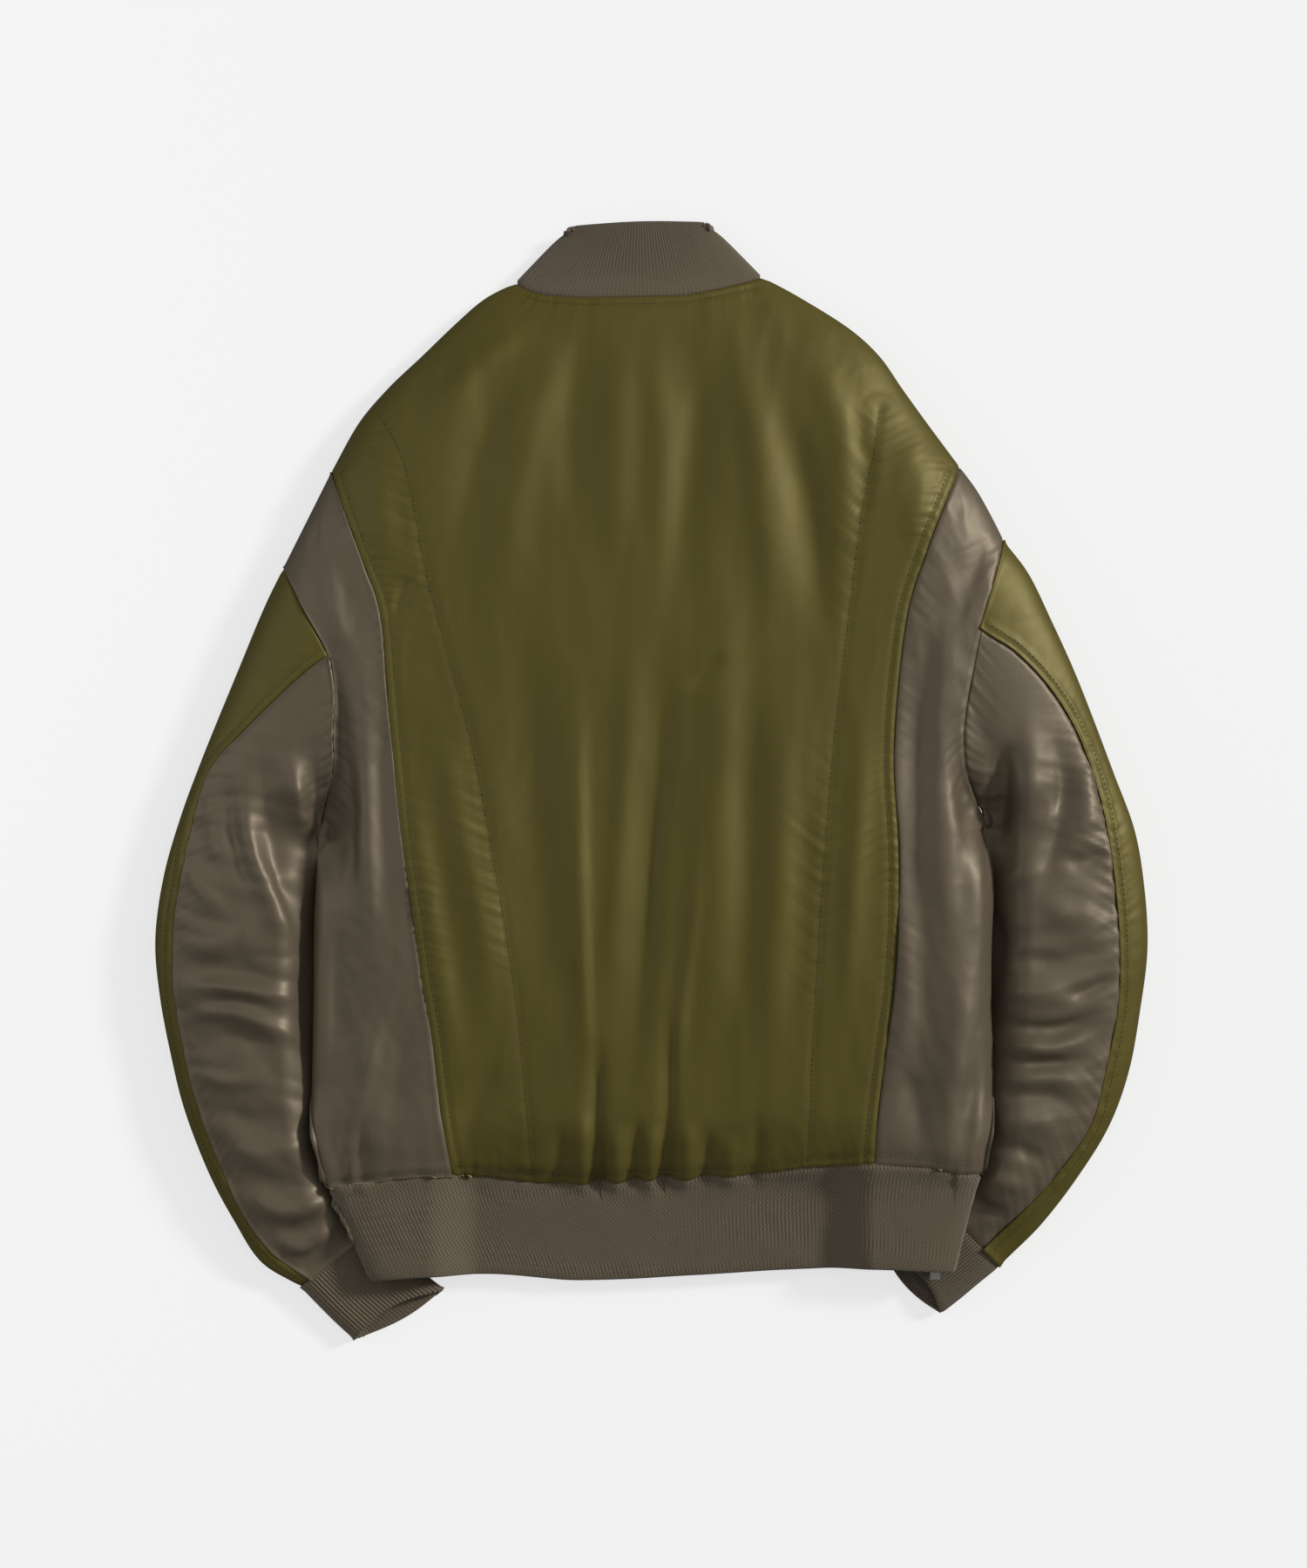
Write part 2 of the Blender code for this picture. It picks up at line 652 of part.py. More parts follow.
def cuff(side, parts):
    rows = []
    for station in CUFF_LEFT if side < 0 else CUFF_RIGHT:
        outer = (station.outer_x, station.outer_y)
        inner = (station.inner_x, station.inner_y)
        run = math.dist(outer, inner)
        fold = CUFF_HEIGHT * 0.45
        row = []
        for share in CUFF_SHARES:
            x, y = straight(outer, inner, share)
            height = fold if share == 0 else cuff_top(min(share, 1 - share) * run)
            row.append((x, y, height))
        for share in CUFF_SHARES:
            x, y = straight(inner, outer, share)
            inward = min(share, 1 - share) * run
            row.append((x, y, fold * (1 - dome(inward / CUFF_SPREAD))))
        rows.append(row if side > 0 else row[::-1])
    cloth("cuff_left" if side < 0 else "cuff_right", rows, KNIT, parts, wall=RIB_WALL, closed=True)


# ---- ribs ----

HEM_LEVELS = [0, 0.33, 0.67, 1]
HEM_BOTTOM = [
    Point(-199, -354), Point(-158, -351), Point(-117, -350.5), Point(-50, -355), Point(37, -351),
    Point(94, -347.5), Point(153, -345.5), Point(215, -348),
]


def hem_rib(parts):
    """One band from the centre front round the back to the centre front again."""
    rows = []
    for level in HEM_LEVELS:
        left = (mix(-228, -199, level ** 1.1), mix(-288 - HEM_GAP, -354, level))
        right = (mix(233, 215, level ** 0.9), mix(-278 - HEM_GAP, -348, level))

        def at(x):
            start = hem_y(x) - HEM_GAP
            return mix(start, read(HEM_BOTTOM, "x", "y", x), level)

        row = []
        for share in (0, 0.25, 0.5, 0.7, 0.85):
            x = mix(-ZIP_EDGE, left[0] + 6, share)
            row.append((x, at(x), under(x, at(x))))
        x = left[0] + 6
        row.append((x, at(x), under(x, at(x))))
        row.append((*left, edge_fold(*left)))
        row.append((x, at(x), top(x, at(x))))
        for share in (0.04, 0.1, 0.18, 0.27, 0.36, 0.45, 0.55, 0.64, 0.73, 0.82, 0.9, 0.96):
            x = mix(left[0] + 6, right[0] - 6, share)
            row.append((x, at(x), top(x, at(x))))
        x = right[0] - 6
        row.append((x, at(x), top(x, at(x))))
        row.append((*right, edge_fold(*right)))
        row.append((x, at(x), under(x, at(x))))
        for share in (0.15, 0.3, 0.5, 0.75, 1):
            x = mix(right[0] - 6, ZIP_EDGE, share)
            row.append((x, at(x), under(x, at(x))))
        rows.append(row[::-1])
    cloth("hem_rib", rows, KNIT, parts, wall=RIB_WALL)


COLLAR_LEFT_TIP = (-59.0, 392.0)
COLLAR_RIGHT_TIP = (41.0, 395.0)
COLLAR_GAP = 1.5
COLLAR_FRONT_SHARES = [0.06, 0.12, 0.3, 0.5, 0.68, 0.85, 1]


def collar_rib(parts):
    """One band from the centre front up round the back of the neck and down again."""
    rows = []
    for level in HEM_LEVELS:
        left = straight((NECK_LEFT[0] + HEM_GAP, NECK_LEFT[1] + HEM_GAP), COLLAR_LEFT_TIP, level)
        right = straight((NECK_RIGHT[0] - HEM_GAP, NECK_RIGHT[1] + HEM_GAP), COLLAR_RIGHT_TIP, level)
        foot_y = mix(FRONT_NECK_Y + SEAM_GAP, FRONT_NECK_Y + COLLAR_STAND, level)
        row = []
        for share in COLLAR_FRONT_SHARES[::-1]:
            x, y = front_neckline(-1, share, left, COLLAR_GAP, foot_y)
            row.append((x, y, under(x, y)))
        row.append((*left, edge_fold(*left)))
        for share in (0.03, 0.1, 0.2, 0.32, 0.44, 0.56, 0.68, 0.8, 0.9, 0.97):
            x = mix(left[0], right[0], share)
            base_x = mix(NECK_LEFT[0], NECK_RIGHT[0], share)
            base = neck_y(base_x) + SEAM_GAP
            y = mix(base, mix(394.5, 397, share), level)
            row.append((x, y, top(x, y)))
        row.append((*right, edge_fold(*right)))
        for share in COLLAR_FRONT_SHARES:
            x, y = front_neckline(1, share, right, COLLAR_GAP, foot_y)
            row.append((x, y, under(x, y)))
        rows.append(row)
    cloth("collar_rib", rows, KNIT, parts, wall=RIB_WALL)


# ---- zip ----

def block(name, low, high, finish, parts):
    """A box between two corners, in mm."""
    bpy.ops.mesh.primitive_cube_add(size=1)
    piece = bpy.context.object
    middle = [(a + b) / 2 * MM for a, b in zip(low, high)]
    size = [(b - a) * MM for a, b in zip(low, high)]
    for vertex in piece.data.vertices:
        vertex.co = [centre + value * side for centre, value, side in zip(middle, vertex.co, size)]
    piece.name = name
    for collection in piece.users_collection:
        collection.objects.unlink(piece)
    parts.objects.link(piece)
    piece.data.materials.append(material_of(name, finish))
    return piece


def bar_along_x(name, half, radius, y, z, finish, parts):
    bpy.ops.mesh.primitive_cylinder_add(
        radius=radius * MM, depth=2 * half * MM, vertices=16, rotation=(0, math.pi / 2, 0),
        location=(0, y * MM, z * MM),
    )
    piece = bpy.context.object
    piece.name = name
    for collection in piece.users_collection:
        collection.objects.unlink(piece)
    parts.objects.link(piece)
    piece.data.materials.append(material_of(name, finish))
    return piece


def combine(target, other, operation):
    """Joins or cuts the target with another object, which is then kept only as a guide."""
    change = target.modifiers.new(operation.lower(), "BOOLEAN")
    change.operation = operation
    change.solver = "EXACT"
    change.object = other
    other.hide_render = True
    other.display_type = "WIRE"


def zipper(parts, guides):
    top_y = ZIP_TOP_Y - SLIDER_LENGTH
    for side, name in ((-1, "zip_tape_left"), (1, "zip_tape_right")):
        inner, outer = CHAIN_HALF + 0.3, TAPE_OUTER
        xs = (inner, outer) if side > 0 else (-outer, -inner)
        block(name, (xs[0], ZIP_FOOT_Y, TAPE_LOW), (xs[1], ZIP_TOP_Y + 6, TAPE_HIGH), TAPE, parts)
    chain_top = ZIP_TOP_Y - 4.0
    block("zip_chain", (-CHAIN_HALF, ZIP_FOOT_Y + 12, CHAIN_LOW),
          (CHAIN_HALF, chain_top, CHAIN_HIGH), METAL, parts)
    front_high = CHAIN_LOW - 0.35
    front_low = front_high - PLATE
    back_low = CHAIN_HIGH + 0.35
    slider = block("zip_slider", (-SLIDER_HALF, top_y, front_low),
                   (SLIDER_HALF, ZIP_TOP_Y, front_high), METAL, parts)
    back = block("slider_back", (-SLIDER_HALF, top_y, back_low),
                 (SLIDER_HALF, ZIP_TOP_Y, back_low + PLATE), METAL, guides)
    post = block("slider_post", (-1.6, chain_top + 0.4, front_low + 0.2),
                 (1.6, ZIP_TOP_Y - 0.4, back_low + 0.4), METAL, guides)
    lug = block("slider_lug", (-LUG_HALF, PULL_AXIS_Y - 1.6, PULL_AXIS_Z - LUG_HOLE - 0.1 + 0.35),
                (LUG_HALF, PULL_AXIS_Y + 1.6, front_low + 0.2), METAL, guides)
    eye = bar_along_x("slider_eye", 4, LUG_HOLE - 0.15, PULL_AXIS_Y, PULL_AXIS_Z, METAL, guides)
    combine(slider, back, "UNION")
    combine(slider, post, "UNION")
    combine(slider, lug, "UNION")
    combine(slider, eye, "DIFFERENCE")
    block("zip_box", (-5.5, ZIP_FOOT_Y, 3.6), (5.5, ZIP_FOOT_Y + 11.6, 5.0), METAL, parts)


def zip_pull(parts, guides):
    """A flat tab with an open end that holds a pin through the slider's lug."""
    low = PULL_AXIS_Z - PULL_THICK / 2
    high = PULL_AXIS_Z + PULL_THICK / 2
    end = PULL_AXIS_Y - PULL_LENGTH
    tab = block("zip_pull", (-PULL_HALF, end, low), (PULL_HALF, PULL_AXIS_Y + 1.0, high), METAL, parts)
    window = block("pull_window", (-1.6, PULL_AXIS_Y - 3.4, low - 1), (1.6, PULL_AXIS_Y + 3, high + 1),
                   METAL, guides)
    pin = bar_along_x("pull_pin", 2.0, PIN_RADIUS, PULL_AXIS_Y, PULL_AXIS_Z, METAL, guides)
    combine(tab, window, "DIFFERENCE")
    combine(tab, pin, "UNION")
    return tab


HEM_ZIP_X = 200.5
HEM_ZIP_Z = 21.8


def hem_zip(parts):
    """A short zip sewn inside the front layer of the hem rib, of which the metal end shows."""
    block("hem_zip_tape", (HEM_ZIP_X - 6, -340, HEM_ZIP_Z), (HEM_ZIP_X + 6, -296, HEM_ZIP_Z + 0.7),
          TAPE, parts)
    block("hem_zip_end", (HEM_ZIP_X - 3.5, -353, HEM_ZIP_Z), (HEM_ZIP_X + 3.5, -340.3, HEM_ZIP_Z + 1.8),
          METAL, parts)


def build():
    for old in list(bpy.data.objects):
        bpy.data.objects.remove(old, do_unlink=True)
    parts = bpy.data.collections.new("bomber_jacket")
    guides = bpy.data.collections.new("cutters")
    bpy.context.scene.collection.children.link(parts)
    bpy.context.scene.collection.children.link(guides)
    back_panel(parts)
    for side in (-1, 1):
        front_panel(side, parts)
        side_panel(side, parts)
        sleeve_outer(side, parts)
        sleeve_back(side, parts)
        cuff(side, parts)
    hem_rib(parts)
    collar_rib(parts)
    zipper(parts, guides)
    zip_pull(parts, guides)
    hem_zip(parts)


build()
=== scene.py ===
"""Looks of a bomber jacket lying face down: nylon panels, rib knit, stitching and zips.

Tables and shape maths are in millimetres, and MM turns them into metres when a mesh is made.
+X is the wearer's right, +Y runs to the collar, and the floor is z = 0. The jacket's upper
layer is its back, and its fronts lie on the floor.
"""

import logging
import math
from dataclasses import dataclass, field
from enum import Enum

import bmesh
import bpy
import numpy as np
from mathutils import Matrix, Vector, bvhtree, kdtree, noise


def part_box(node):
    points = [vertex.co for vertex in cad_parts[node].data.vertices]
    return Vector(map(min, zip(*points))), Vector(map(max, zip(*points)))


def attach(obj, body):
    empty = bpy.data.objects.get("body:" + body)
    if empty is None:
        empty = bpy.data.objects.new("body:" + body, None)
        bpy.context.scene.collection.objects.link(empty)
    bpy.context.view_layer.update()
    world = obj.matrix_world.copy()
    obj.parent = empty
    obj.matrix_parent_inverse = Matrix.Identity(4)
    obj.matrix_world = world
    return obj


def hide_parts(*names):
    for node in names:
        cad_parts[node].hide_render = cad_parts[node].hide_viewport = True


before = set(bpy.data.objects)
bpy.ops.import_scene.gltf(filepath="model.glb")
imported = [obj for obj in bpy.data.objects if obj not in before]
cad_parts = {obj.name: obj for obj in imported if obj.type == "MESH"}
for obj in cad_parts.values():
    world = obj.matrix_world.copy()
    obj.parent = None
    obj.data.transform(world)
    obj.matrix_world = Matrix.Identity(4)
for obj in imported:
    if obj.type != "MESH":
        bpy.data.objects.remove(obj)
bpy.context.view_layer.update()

MM = 0.001
WALL = 2.4
RIB_WALL = 2.6
LEFT, RIGHT = -1, 1
Array = np.ndarray
log = logging.getLogger("jacket")


# ---- curves ----

def ease(t: Array | float) -> Array:
    """A smooth step from 0 to 1."""
    t = np.clip(t, 0.0, 1.0)
    return t * t * (3 - 2 * t)


def mix(a: Array | float, b: Array | float, t: Array | float) -> Array | float:
    """A value part of the way from a, at 0, to b, at 1."""
    return a + (b - a) * t


def bell(distance: Array | float, reach: Array | float) -> Array:
    """1 at no distance, falling softly away beyond the reach."""
    return np.exp(-((distance / reach) ** 2))


def dome(t: Array | float) -> Array:
    """A quarter circle: steep at its foot, level at its top."""
    t = np.clip(t, 0.0, 1.0)
    return np.sqrt(np.maximum(0.0, 1 - (1 - t) ** 2))


class Smooth:
    """A smooth curve through the values of a table.

    Args:
        at: where each value belongs.
        values: the values there.
        loose: lets the curve swing past its points, as an outline does.
    """

    def __init__(self, at: list[float], values: list[float], loose: bool = False) -> None:
        order = np.argsort(at)
        self.at = np.asarray(at, float)[order]
        self.values = np.asarray(values, float)[order]
        step = np.diff(self.at)
        slope = np.diff(self.values) / step
        before, after = slope[:-1], slope[1:]
        if loose:
            inner = (before * step[1:] + after * step[:-1]) / (step[:-1] + step[1:])
        else:
            total = np.where(before + after == 0, 1.0, before + after)
            inner = np.where(before * after > 0, 2 * before * after / total, 0.0)
        self.slopes = np.concatenate([slope[:1], inner, slope[-1:]])

    def __call__(self, at: Array | float) -> Array:
        """The curve's value, held at its ends."""
        at = np.clip(at, self.at[0], self.at[-1])
        last = len(self.at) - 2
        low = np.clip(np.searchsorted(self.at, at, side="right") - 1, 0, last)
        step = self.at[low + 1] - self.at[low]
        t = (at - self.at[low]) / step
        start, rise = self.values[low], self.values[low + 1] - self.values[low]
        leave, arrive = self.slopes[low] * step, self.slopes[low + 1] * step
        cubic = leave + arrive - 2 * rise
        return start + t * (leave + t * (rise - leave - cubic + t * cubic))


class Rail:
    """A smooth line through points, which is read by point number and may have corners."""

    def __init__(self, points: list[tuple[float, float]], corners: tuple[int, ...] = ()) -> None:
        self.stops = [0, *corners, len(points) - 1]
        self.spans = []
        for low, high in zip(self.stops, self.stops[1:]):
            numbers = list(range(low, high + 1))
            columns = [[points[n][axis] for n in numbers] for axis in (0, 1)]
            self.spans.append([Smooth(numbers, column, loose=True) for column in columns])

    def __call__(self, number: Array | float) -> tuple[Array, Array]:
        """The x and y of the line at each number."""
        number = np.asarray(number, float)
        span = np.clip(np.searchsorted(self.stops, number, side="right") - 1, 0, len(self.spans) - 1)
        x, y = np.zeros_like(number), np.zeros_like(number)
        for index, (across, along) in enumerate(self.spans):
            x = np.where(span == index, across(number), x)
            y = np.where(span == index, along(number), y)
        return x, y


def even_numbers(rails: list[Rail], stops: list[float], spacing: float) -> Array:
    """Point numbers that lie about evenly along some rails, with every stop among them."""
    numbers = []
    for low, high in zip(stops, stops[1:]):
        fine = np.linspace(low, high, 60)
        run = np.zeros(len(fine) - 1)
        for rail in rails:
            x, y = rail(fine)
            run += np.hypot(np.diff(x), np.diff(y)) / len(rails)
        walked = np.concatenate([[0], np.cumsum(run)])
        count = max(2, round(walked[-1] / spacing) + 1)
        numbers.append(np.interp(np.linspace(0, walked[-1], count), walked, fine)[:-1])
    return np.concatenate([*numbers, [stops[-1]]])


def crowded_ends(count: int, start: float, end: float) -> Array:
    """Numbers from 0 to 1 that crowd towards the ends, by how much for each."""
    even = np.linspace(0, 1, count)
    low = even ** (1 + start)
    high = 1 - (1 - even) ** (1 + end)
    return mix(low, high, even)


class Line:
    """A line of straight steps, which tells how far points lie from it and where along it."""

    def __init__(self, xs: Array, ys: Array) -> None:
        self.points = np.column_stack([xs, ys])
        self.steps = np.diff(self.points, axis=0)
        self.lengths = np.maximum(np.hypot(*self.steps.T), 1e-6)
        self.walked = np.concatenate([[0], np.cumsum(self.lengths)])
        self.tree = kdtree.KDTree(len(self.points))
        for index, (x, y) in enumerate(self.points):
            self.tree.insert((x, y, 0), index)
        self.tree.balance()

    @classmethod
    def through(cls, points: list[tuple[float, float]], spacing: float = 1.0) -> "Line":
        """A smooth line through a few points."""
        rail = Rail(points)
        return cls(*rail(even_numbers([rail], list(rail.stops), spacing)))

    def measure(self, x: Array, y: Array) -> tuple[Array, Array]:
        """Signed distance, positive on the line's left, and the distance walked along it."""
        flat = np.column_stack([np.ravel(x), np.ravel(y)])
        near = np.array([self.tree.find((px, py, 0))[1] for px, py in flat])
        best = np.full(len(flat), np.inf)
        sign, walked = np.ones(len(flat)), np.zeros(len(flat))
        for shift in (-1, 0):
            step = np.clip(near + shift, 0, len(self.steps) - 1)
            run, away = self.steps[step], flat - self.points[step]
            share = np.clip((away * run).sum(1) / self.lengths[step] ** 2, 0, 1)
            gap = np.hypot(*(away - run * share[:, None]).T)
            closer = gap < best
            best = np.where(closer, gap, best)
            side = np.sign(run[:, 0] * away[:, 1] - run[:, 1] * away[:, 0])
            sign = np.where(closer, side, sign)
            walked = np.where(closer, self.walked[step] + share * self.lengths[step], walked)
        shape = np.shape(x)
        return (best * np.where(sign == 0, 1, sign)).reshape(shape), walked.reshape(shape)


# ---- the jacket's lines ----

@dataclass
class Lines:
    """The outline, seams and heights of the cloth, from short tables of points."""

    back_left: list = field(default_factory=lambda: [
        (-139, -280), (-147, -240), (-154, -182), (-161, -140), (-166.5, -100), (-175, -41),
        (-182, 22), (-186, 65), (-191, 117), (-202, 150), (-216, 187), (-227, 219),
        (-208, 253), (-187, 278), (-163, 301), (-137, 326), (-118, 342), (-97, 353)])
    back_right: list = field(default_factory=lambda: [
        (156, -271), (158.5, -238), (165, -185), (170, -146), (173, -98), (173, -45),
        (170, 10), (172.5, 60), (180, 118), (193, 160), (206, 193), (219, 222),
        (196, 253), (178, 278), (162, 301), (140, 321), (105, 343), (79, 357)])
    shoulder_row: int = 11
    hem_seam: list = field(default_factory=lambda: [
        (-245, -290), (-228, -288), (-203, -285), (-166, -280), (-139, -280), (-66, -286),
        (8, -282), (69, -280), (115, -274), (156, -271), (192, -272.5), (214, -276),
        (233, -278), (245, -279)])
    hem_foot: list = field(default_factory=lambda: [
        (-199, -354), (-158, -351), (-117, -350.5), (-50, -355), (37, -351), (94, -347.5),
        (153, -345.5), (215, -348)])
    neckline: list = field(default_factory=lambda: [
        (-97, 353), (-87, 346.5), (-73, 343), (-45, 341), (12, 342), (40, 346), (61, 351),
        (79, 357)])
    # y, left edge, right edge, height of the edge fold, height of the middle
    lower: list = field(default_factory=lambda: [
        (-358, -199, 215, 7, 13), (-342, -205, 219, 7, 14), (-310, -216, 225, 8, 17),
        (-288, -228, 233, 10, 20), (-270, -234, 236, 17, 32), (-235, -240, 241, 23, 42),
        (-130, -238, 240, 25, 46), (-74, -237, 242, 25, 47), (-20, -236, 238, 25, 47),
        (60, -236, 238, 25, 47)])
    upper: list = field(default_factory=lambda: [
        (-90, -352, 352, 12, 46), (10, -322, 326, 12, 47), (66, -298, 305, 12, 47),
        (170, -252, 250, 11, 45), (221, -227, 219, 11, 43), (253, -208, 196, 11, 41),
        (278, -187, 178, 11, 38), (301, -163, 162, 10, 35), (326, -137, 136, 10, 30),
        (343, -117, 105, 10, 25), (357, -94, 79, 10, 21), (400, -56, 40, 8, 17)])
    # back seam height, then the point on the side edge or the armhole
    side_left: list = field(default_factory=lambda: [
        (-280, -228, -288), (-262, -235, -266), (-240, -240, -240), (-182, -239, -182),
        (-140, -238.5, -140), (-100, -238, -102), (-70, -237, -72), (-41, -236, -41),
        (-10, -229, -12), (22, -224, 10), (42, -224, 34), (65, -223, 60), (90, -227, 87),
        (117, -244, 119), (150, -261, 151), (168, -252, 169), (187, -240, 193),
        (210, -230.5, 212), (218, -227.3, 218.4)])
    side_right: list = field(default_factory=lambda: [
        (-271, 233, -278), (-256, 238, -259), (-238, 241, -238), (-185, 241, -185),
        (-146, 240, -146), (-98, 241, -100), (-70, 242, -70), (-45, 238, -32),
        (-15, 229, -13), (10, 221, 8), (36, 219, 33), (60, 222, 58), (88, 227, 82),
        (118, 232, 106), (139, 241, 138), (160, 250, 170), (176, 242, 186),
        (193, 232, 204), (212, 223.5, 216), (221, 219.3, 221.4)])
    armpit_row: int = 7
    armhole_rows: dict = field(default_factory=lambda: {LEFT: 14, RIGHT: 15})
    # outer edge, colour seam, inner edge, height of the middle
    sleeve_left: list = field(default_factory=lambda: [
        (-261, 151, -227, 87, -226.5, 86, 42), (-275, 122, -239, 79, -223, 60, 42),
        (-294, 76, -263, 57.5, -224, 34, 42), (-308, 42, -287, 34, -224, 10, 42),
        (-320, 12, -310, 9.6, -229, -12, 41), (-334, -26, -324.5, -27.5, -236, -41, 40),
        (-346, -68, -332, -68.5, -233, -72, 39), (-352, -112, -338, -112, -230, -112, 39),
        (-349, -152, -337, -152, -228, -155, 38), (-341, -195, -330, -194.5, -227, -195, 37),
        (-331, -235, -319, -234, -225, -232, 36), (-314, -279, -303, -277, -219, -264, 35),
        (-296, -313, -287, -310, -212, -288, 32), (-277, -342, -267, -337, -203, -305, 25),
        (-248, -361, -241, -355, -195, -318, 16)])
    sleeve_right: list = field(default_factory=lambda: [
        (250, 170, 232, 106, 231.7, 105, 42), (268, 146, 239, 101, 227, 82, 42),
        (284, 113, 257, 89.5, 222, 58, 42), (299, 80, 278.5, 67.5, 219, 33, 42),
        (313, 45, 297.5, 38.8, 221, 8, 41), (328, 5, 312.3, 2.1, 229, -13, 40),
        (343, -36, 321, -35, 238, -32, 40), (350, -78, 327, -77, 234.5, -72, 39),
        (352, -120, 330, -119, 233.5, -112, 39), (347, -162, 329, -160, 232, -152, 38),
        (339, -206, 321, -202, 231, -190, 37), (325, -245, 311, -241.5, 228, -222, 36),
        (303, -281, 289, -275.5, 225, -251, 34), (277, -315, 262.5, -305.3, 219, -277, 27),
        (247, -346, 236, -332, 208, -306, 16)])
    sleeve_armpit: dict = field(default_factory=lambda: {LEFT: 5, RIGHT: 6})
    corner_lift: float = 17.0
    shoulder_spread: float = 62.0
    side_spread: float = 38.0
    armpit_height: float = 17.0

    def __post_init__(self) -> None:
        """Draws the curves through the tables."""
        self.hem = Smooth(*zip(*self.hem_seam))
        self.foot = Smooth(*zip(*self.hem_foot))
        self.neck = Smooth(*zip(*self.neckline))
        low, high = list(zip(*self.lower)), list(zip(*self.upper))
        self.low = {key: Smooth(low[0], low[n]) for n, key in enumerate("y left right fold crown".split()) if n}
        self.high = {key: Smooth(high[0], high[n]) for n, key in enumerate("y left right fold crown".split()) if n}
        self.rails = {LEFT: Rail(self.back_left, (self.shoulder_row,)),
                      RIGHT: Rail(self.back_right, (self.shoulder_row,))}
        self.sleeves, self.crowns, self.edges = {}, {}, {}
        for side, sleeve, edge in ((LEFT, self.sleeve_left, self.side_left),
                                   (RIGHT, self.sleeve_right, self.side_right)):
            self.sleeves[side] = [Rail([row[n:n + 2] for row in sleeve]) for n in (0, 2, 4)]
            self.crowns[side] = Smooth(range(len(sleeve)), [row[6] for row in sleeve])
            corners = (self.armpit_row, self.armhole_rows[side])
            self.edges[side] = (Smooth(range(len(edge)), [row[0] for row in edge]),
                                Rail([row[1:] for row in edge], corners))
        self.sleeve_rows = len(self.sleeve_left)
        self.outline = {side: self._outline(side) for side in (LEFT, RIGHT)}
        self.armhole = {side: Line(*self.edges[side][1](np.linspace(
            self.armpit_row, self.armhole_rows[side], 150))) for side in (LEFT, RIGHT)}
        self.seam_x = {}
        for side in (LEFT, RIGHT):
            xs, ys = self.rails[side](np.linspace(0, self.shoulder_row, 200))
            self.seam_x[side] = Smooth(ys, xs)

    def _outline(self, side: int) -> Line:
        """The jacket's own edge on one side, from the cuff over the shoulder to the collar."""
        last = len(self.side_left if side < 0 else self.side_right) - 1
        sleeve = self.sleeves[side][0](np.linspace(self.sleeve_rows - 1, 0, 700))
        tip = self.edges[side][1](np.linspace(self.armhole_rows[side], last, 120))
        shoulder = self.rails[side](np.linspace(self.shoulder_row, len(self.back_left) - 1, 300))
        collar = ([-59.0], [392.0]) if side < 0 else ([41.0], [395.0])
        parts = [sleeve, tip, shoulder, collar]
        xs, ys = (np.concatenate([part[axis] for part in parts]) for axis in (0, 1))
        keep = np.concatenate([[True], np.hypot(np.diff(xs), np.diff(ys)) > 1e-3])
        return Line(xs[keep], ys[keep])

    def lift(self, x: Array, y: Array) -> Array:
        """How far the hem corners are raised, where they lie over the sleeve ends."""
        return self.corner_lift * ease((np.abs(x) - 122) / 36) * ease((-212 - y) / 50)

    def inward(self, x: Array, y: Array) -> Array:
        """How far a point lies in from the jacket's outline above the armpits."""
        left, _ = self.outline[LEFT].measure(x, y)
        right, _ = self.outline[RIGHT].measure(x, y)
        return np.minimum(np.abs(left), np.abs(right))

    def _level(self, low: bool, x: Array, y: Array, inward: Array) -> Array:
        """Height of the upper layer, from the fold at its edge to the middle."""
        curves = self.low if low else self.high
        swell, spread = (0.0, self.side_spread) if low else (-0.13, self.shoulder_spread)
        fold, crown = curves["fold"](y), curves["crown"](y) * (1 + swell * (x / 230) ** 2)
        return fold + (crown - fold) * dome(inward / spread)

    def body_inward(self, x: Array, y: Array) -> Array:
        """How far a point lies in from the body's own side edges."""
        return np.minimum(x - self.low["left"](y), self.low["right"](y) - x)

    def top(self, x: Array, y: Array) -> Array:
        """Height of the upper layer."""
        lower = self._level(True, x, y, self.body_inward(x, y))
        upper = self._level(False, x, y, self.inward(x, y))
        blended = mix(lower, upper, ease((y + 62) / 90))
        return blended + self.lift(x, y) * np.clip((48 - blended) / 35, 0, 1)

    def under(self, x: Array, y: Array) -> Array:
        """Height of the lower layer: flat, but for rounded sides and the zip's channel."""
        low = y < -35
        fold = np.where(low, self.low["fold"](y), self.high["fold"](y))
        inward = np.where(low, self.body_inward(x, y), self.inward(x, y))
        side = fold * (1 - dome(inward / np.where(y < 130, 34.0, 22.0)))
        channel = 2.6 * (1 - ease((np.abs(x) - 9.5) / 24))
        return np.maximum(side, channel) + self.lift(x, y)

    def fold(self, x: Array, y: Array) -> Array:
        """Height of the fold along the edge."""
        return np.where(y < -35, self.low["fold"](y), self.high["fold"](y)) + self.lift(x, y)

    def hollow(self, side: int, y: Array, reach: float) -> Array:
        """How strongly the armpit pulls the cloth down at this height, up to 1."""
        return bell(y - (self.side_left if side < 0 else self.side_right)[self.armpit_row][2], reach)


LINES = Lines()


# ---- folds ----

class Layer(Enum):
    """Which layer of the jacket a fold lies in."""

    BACK = "back"
    FRONT = "front"


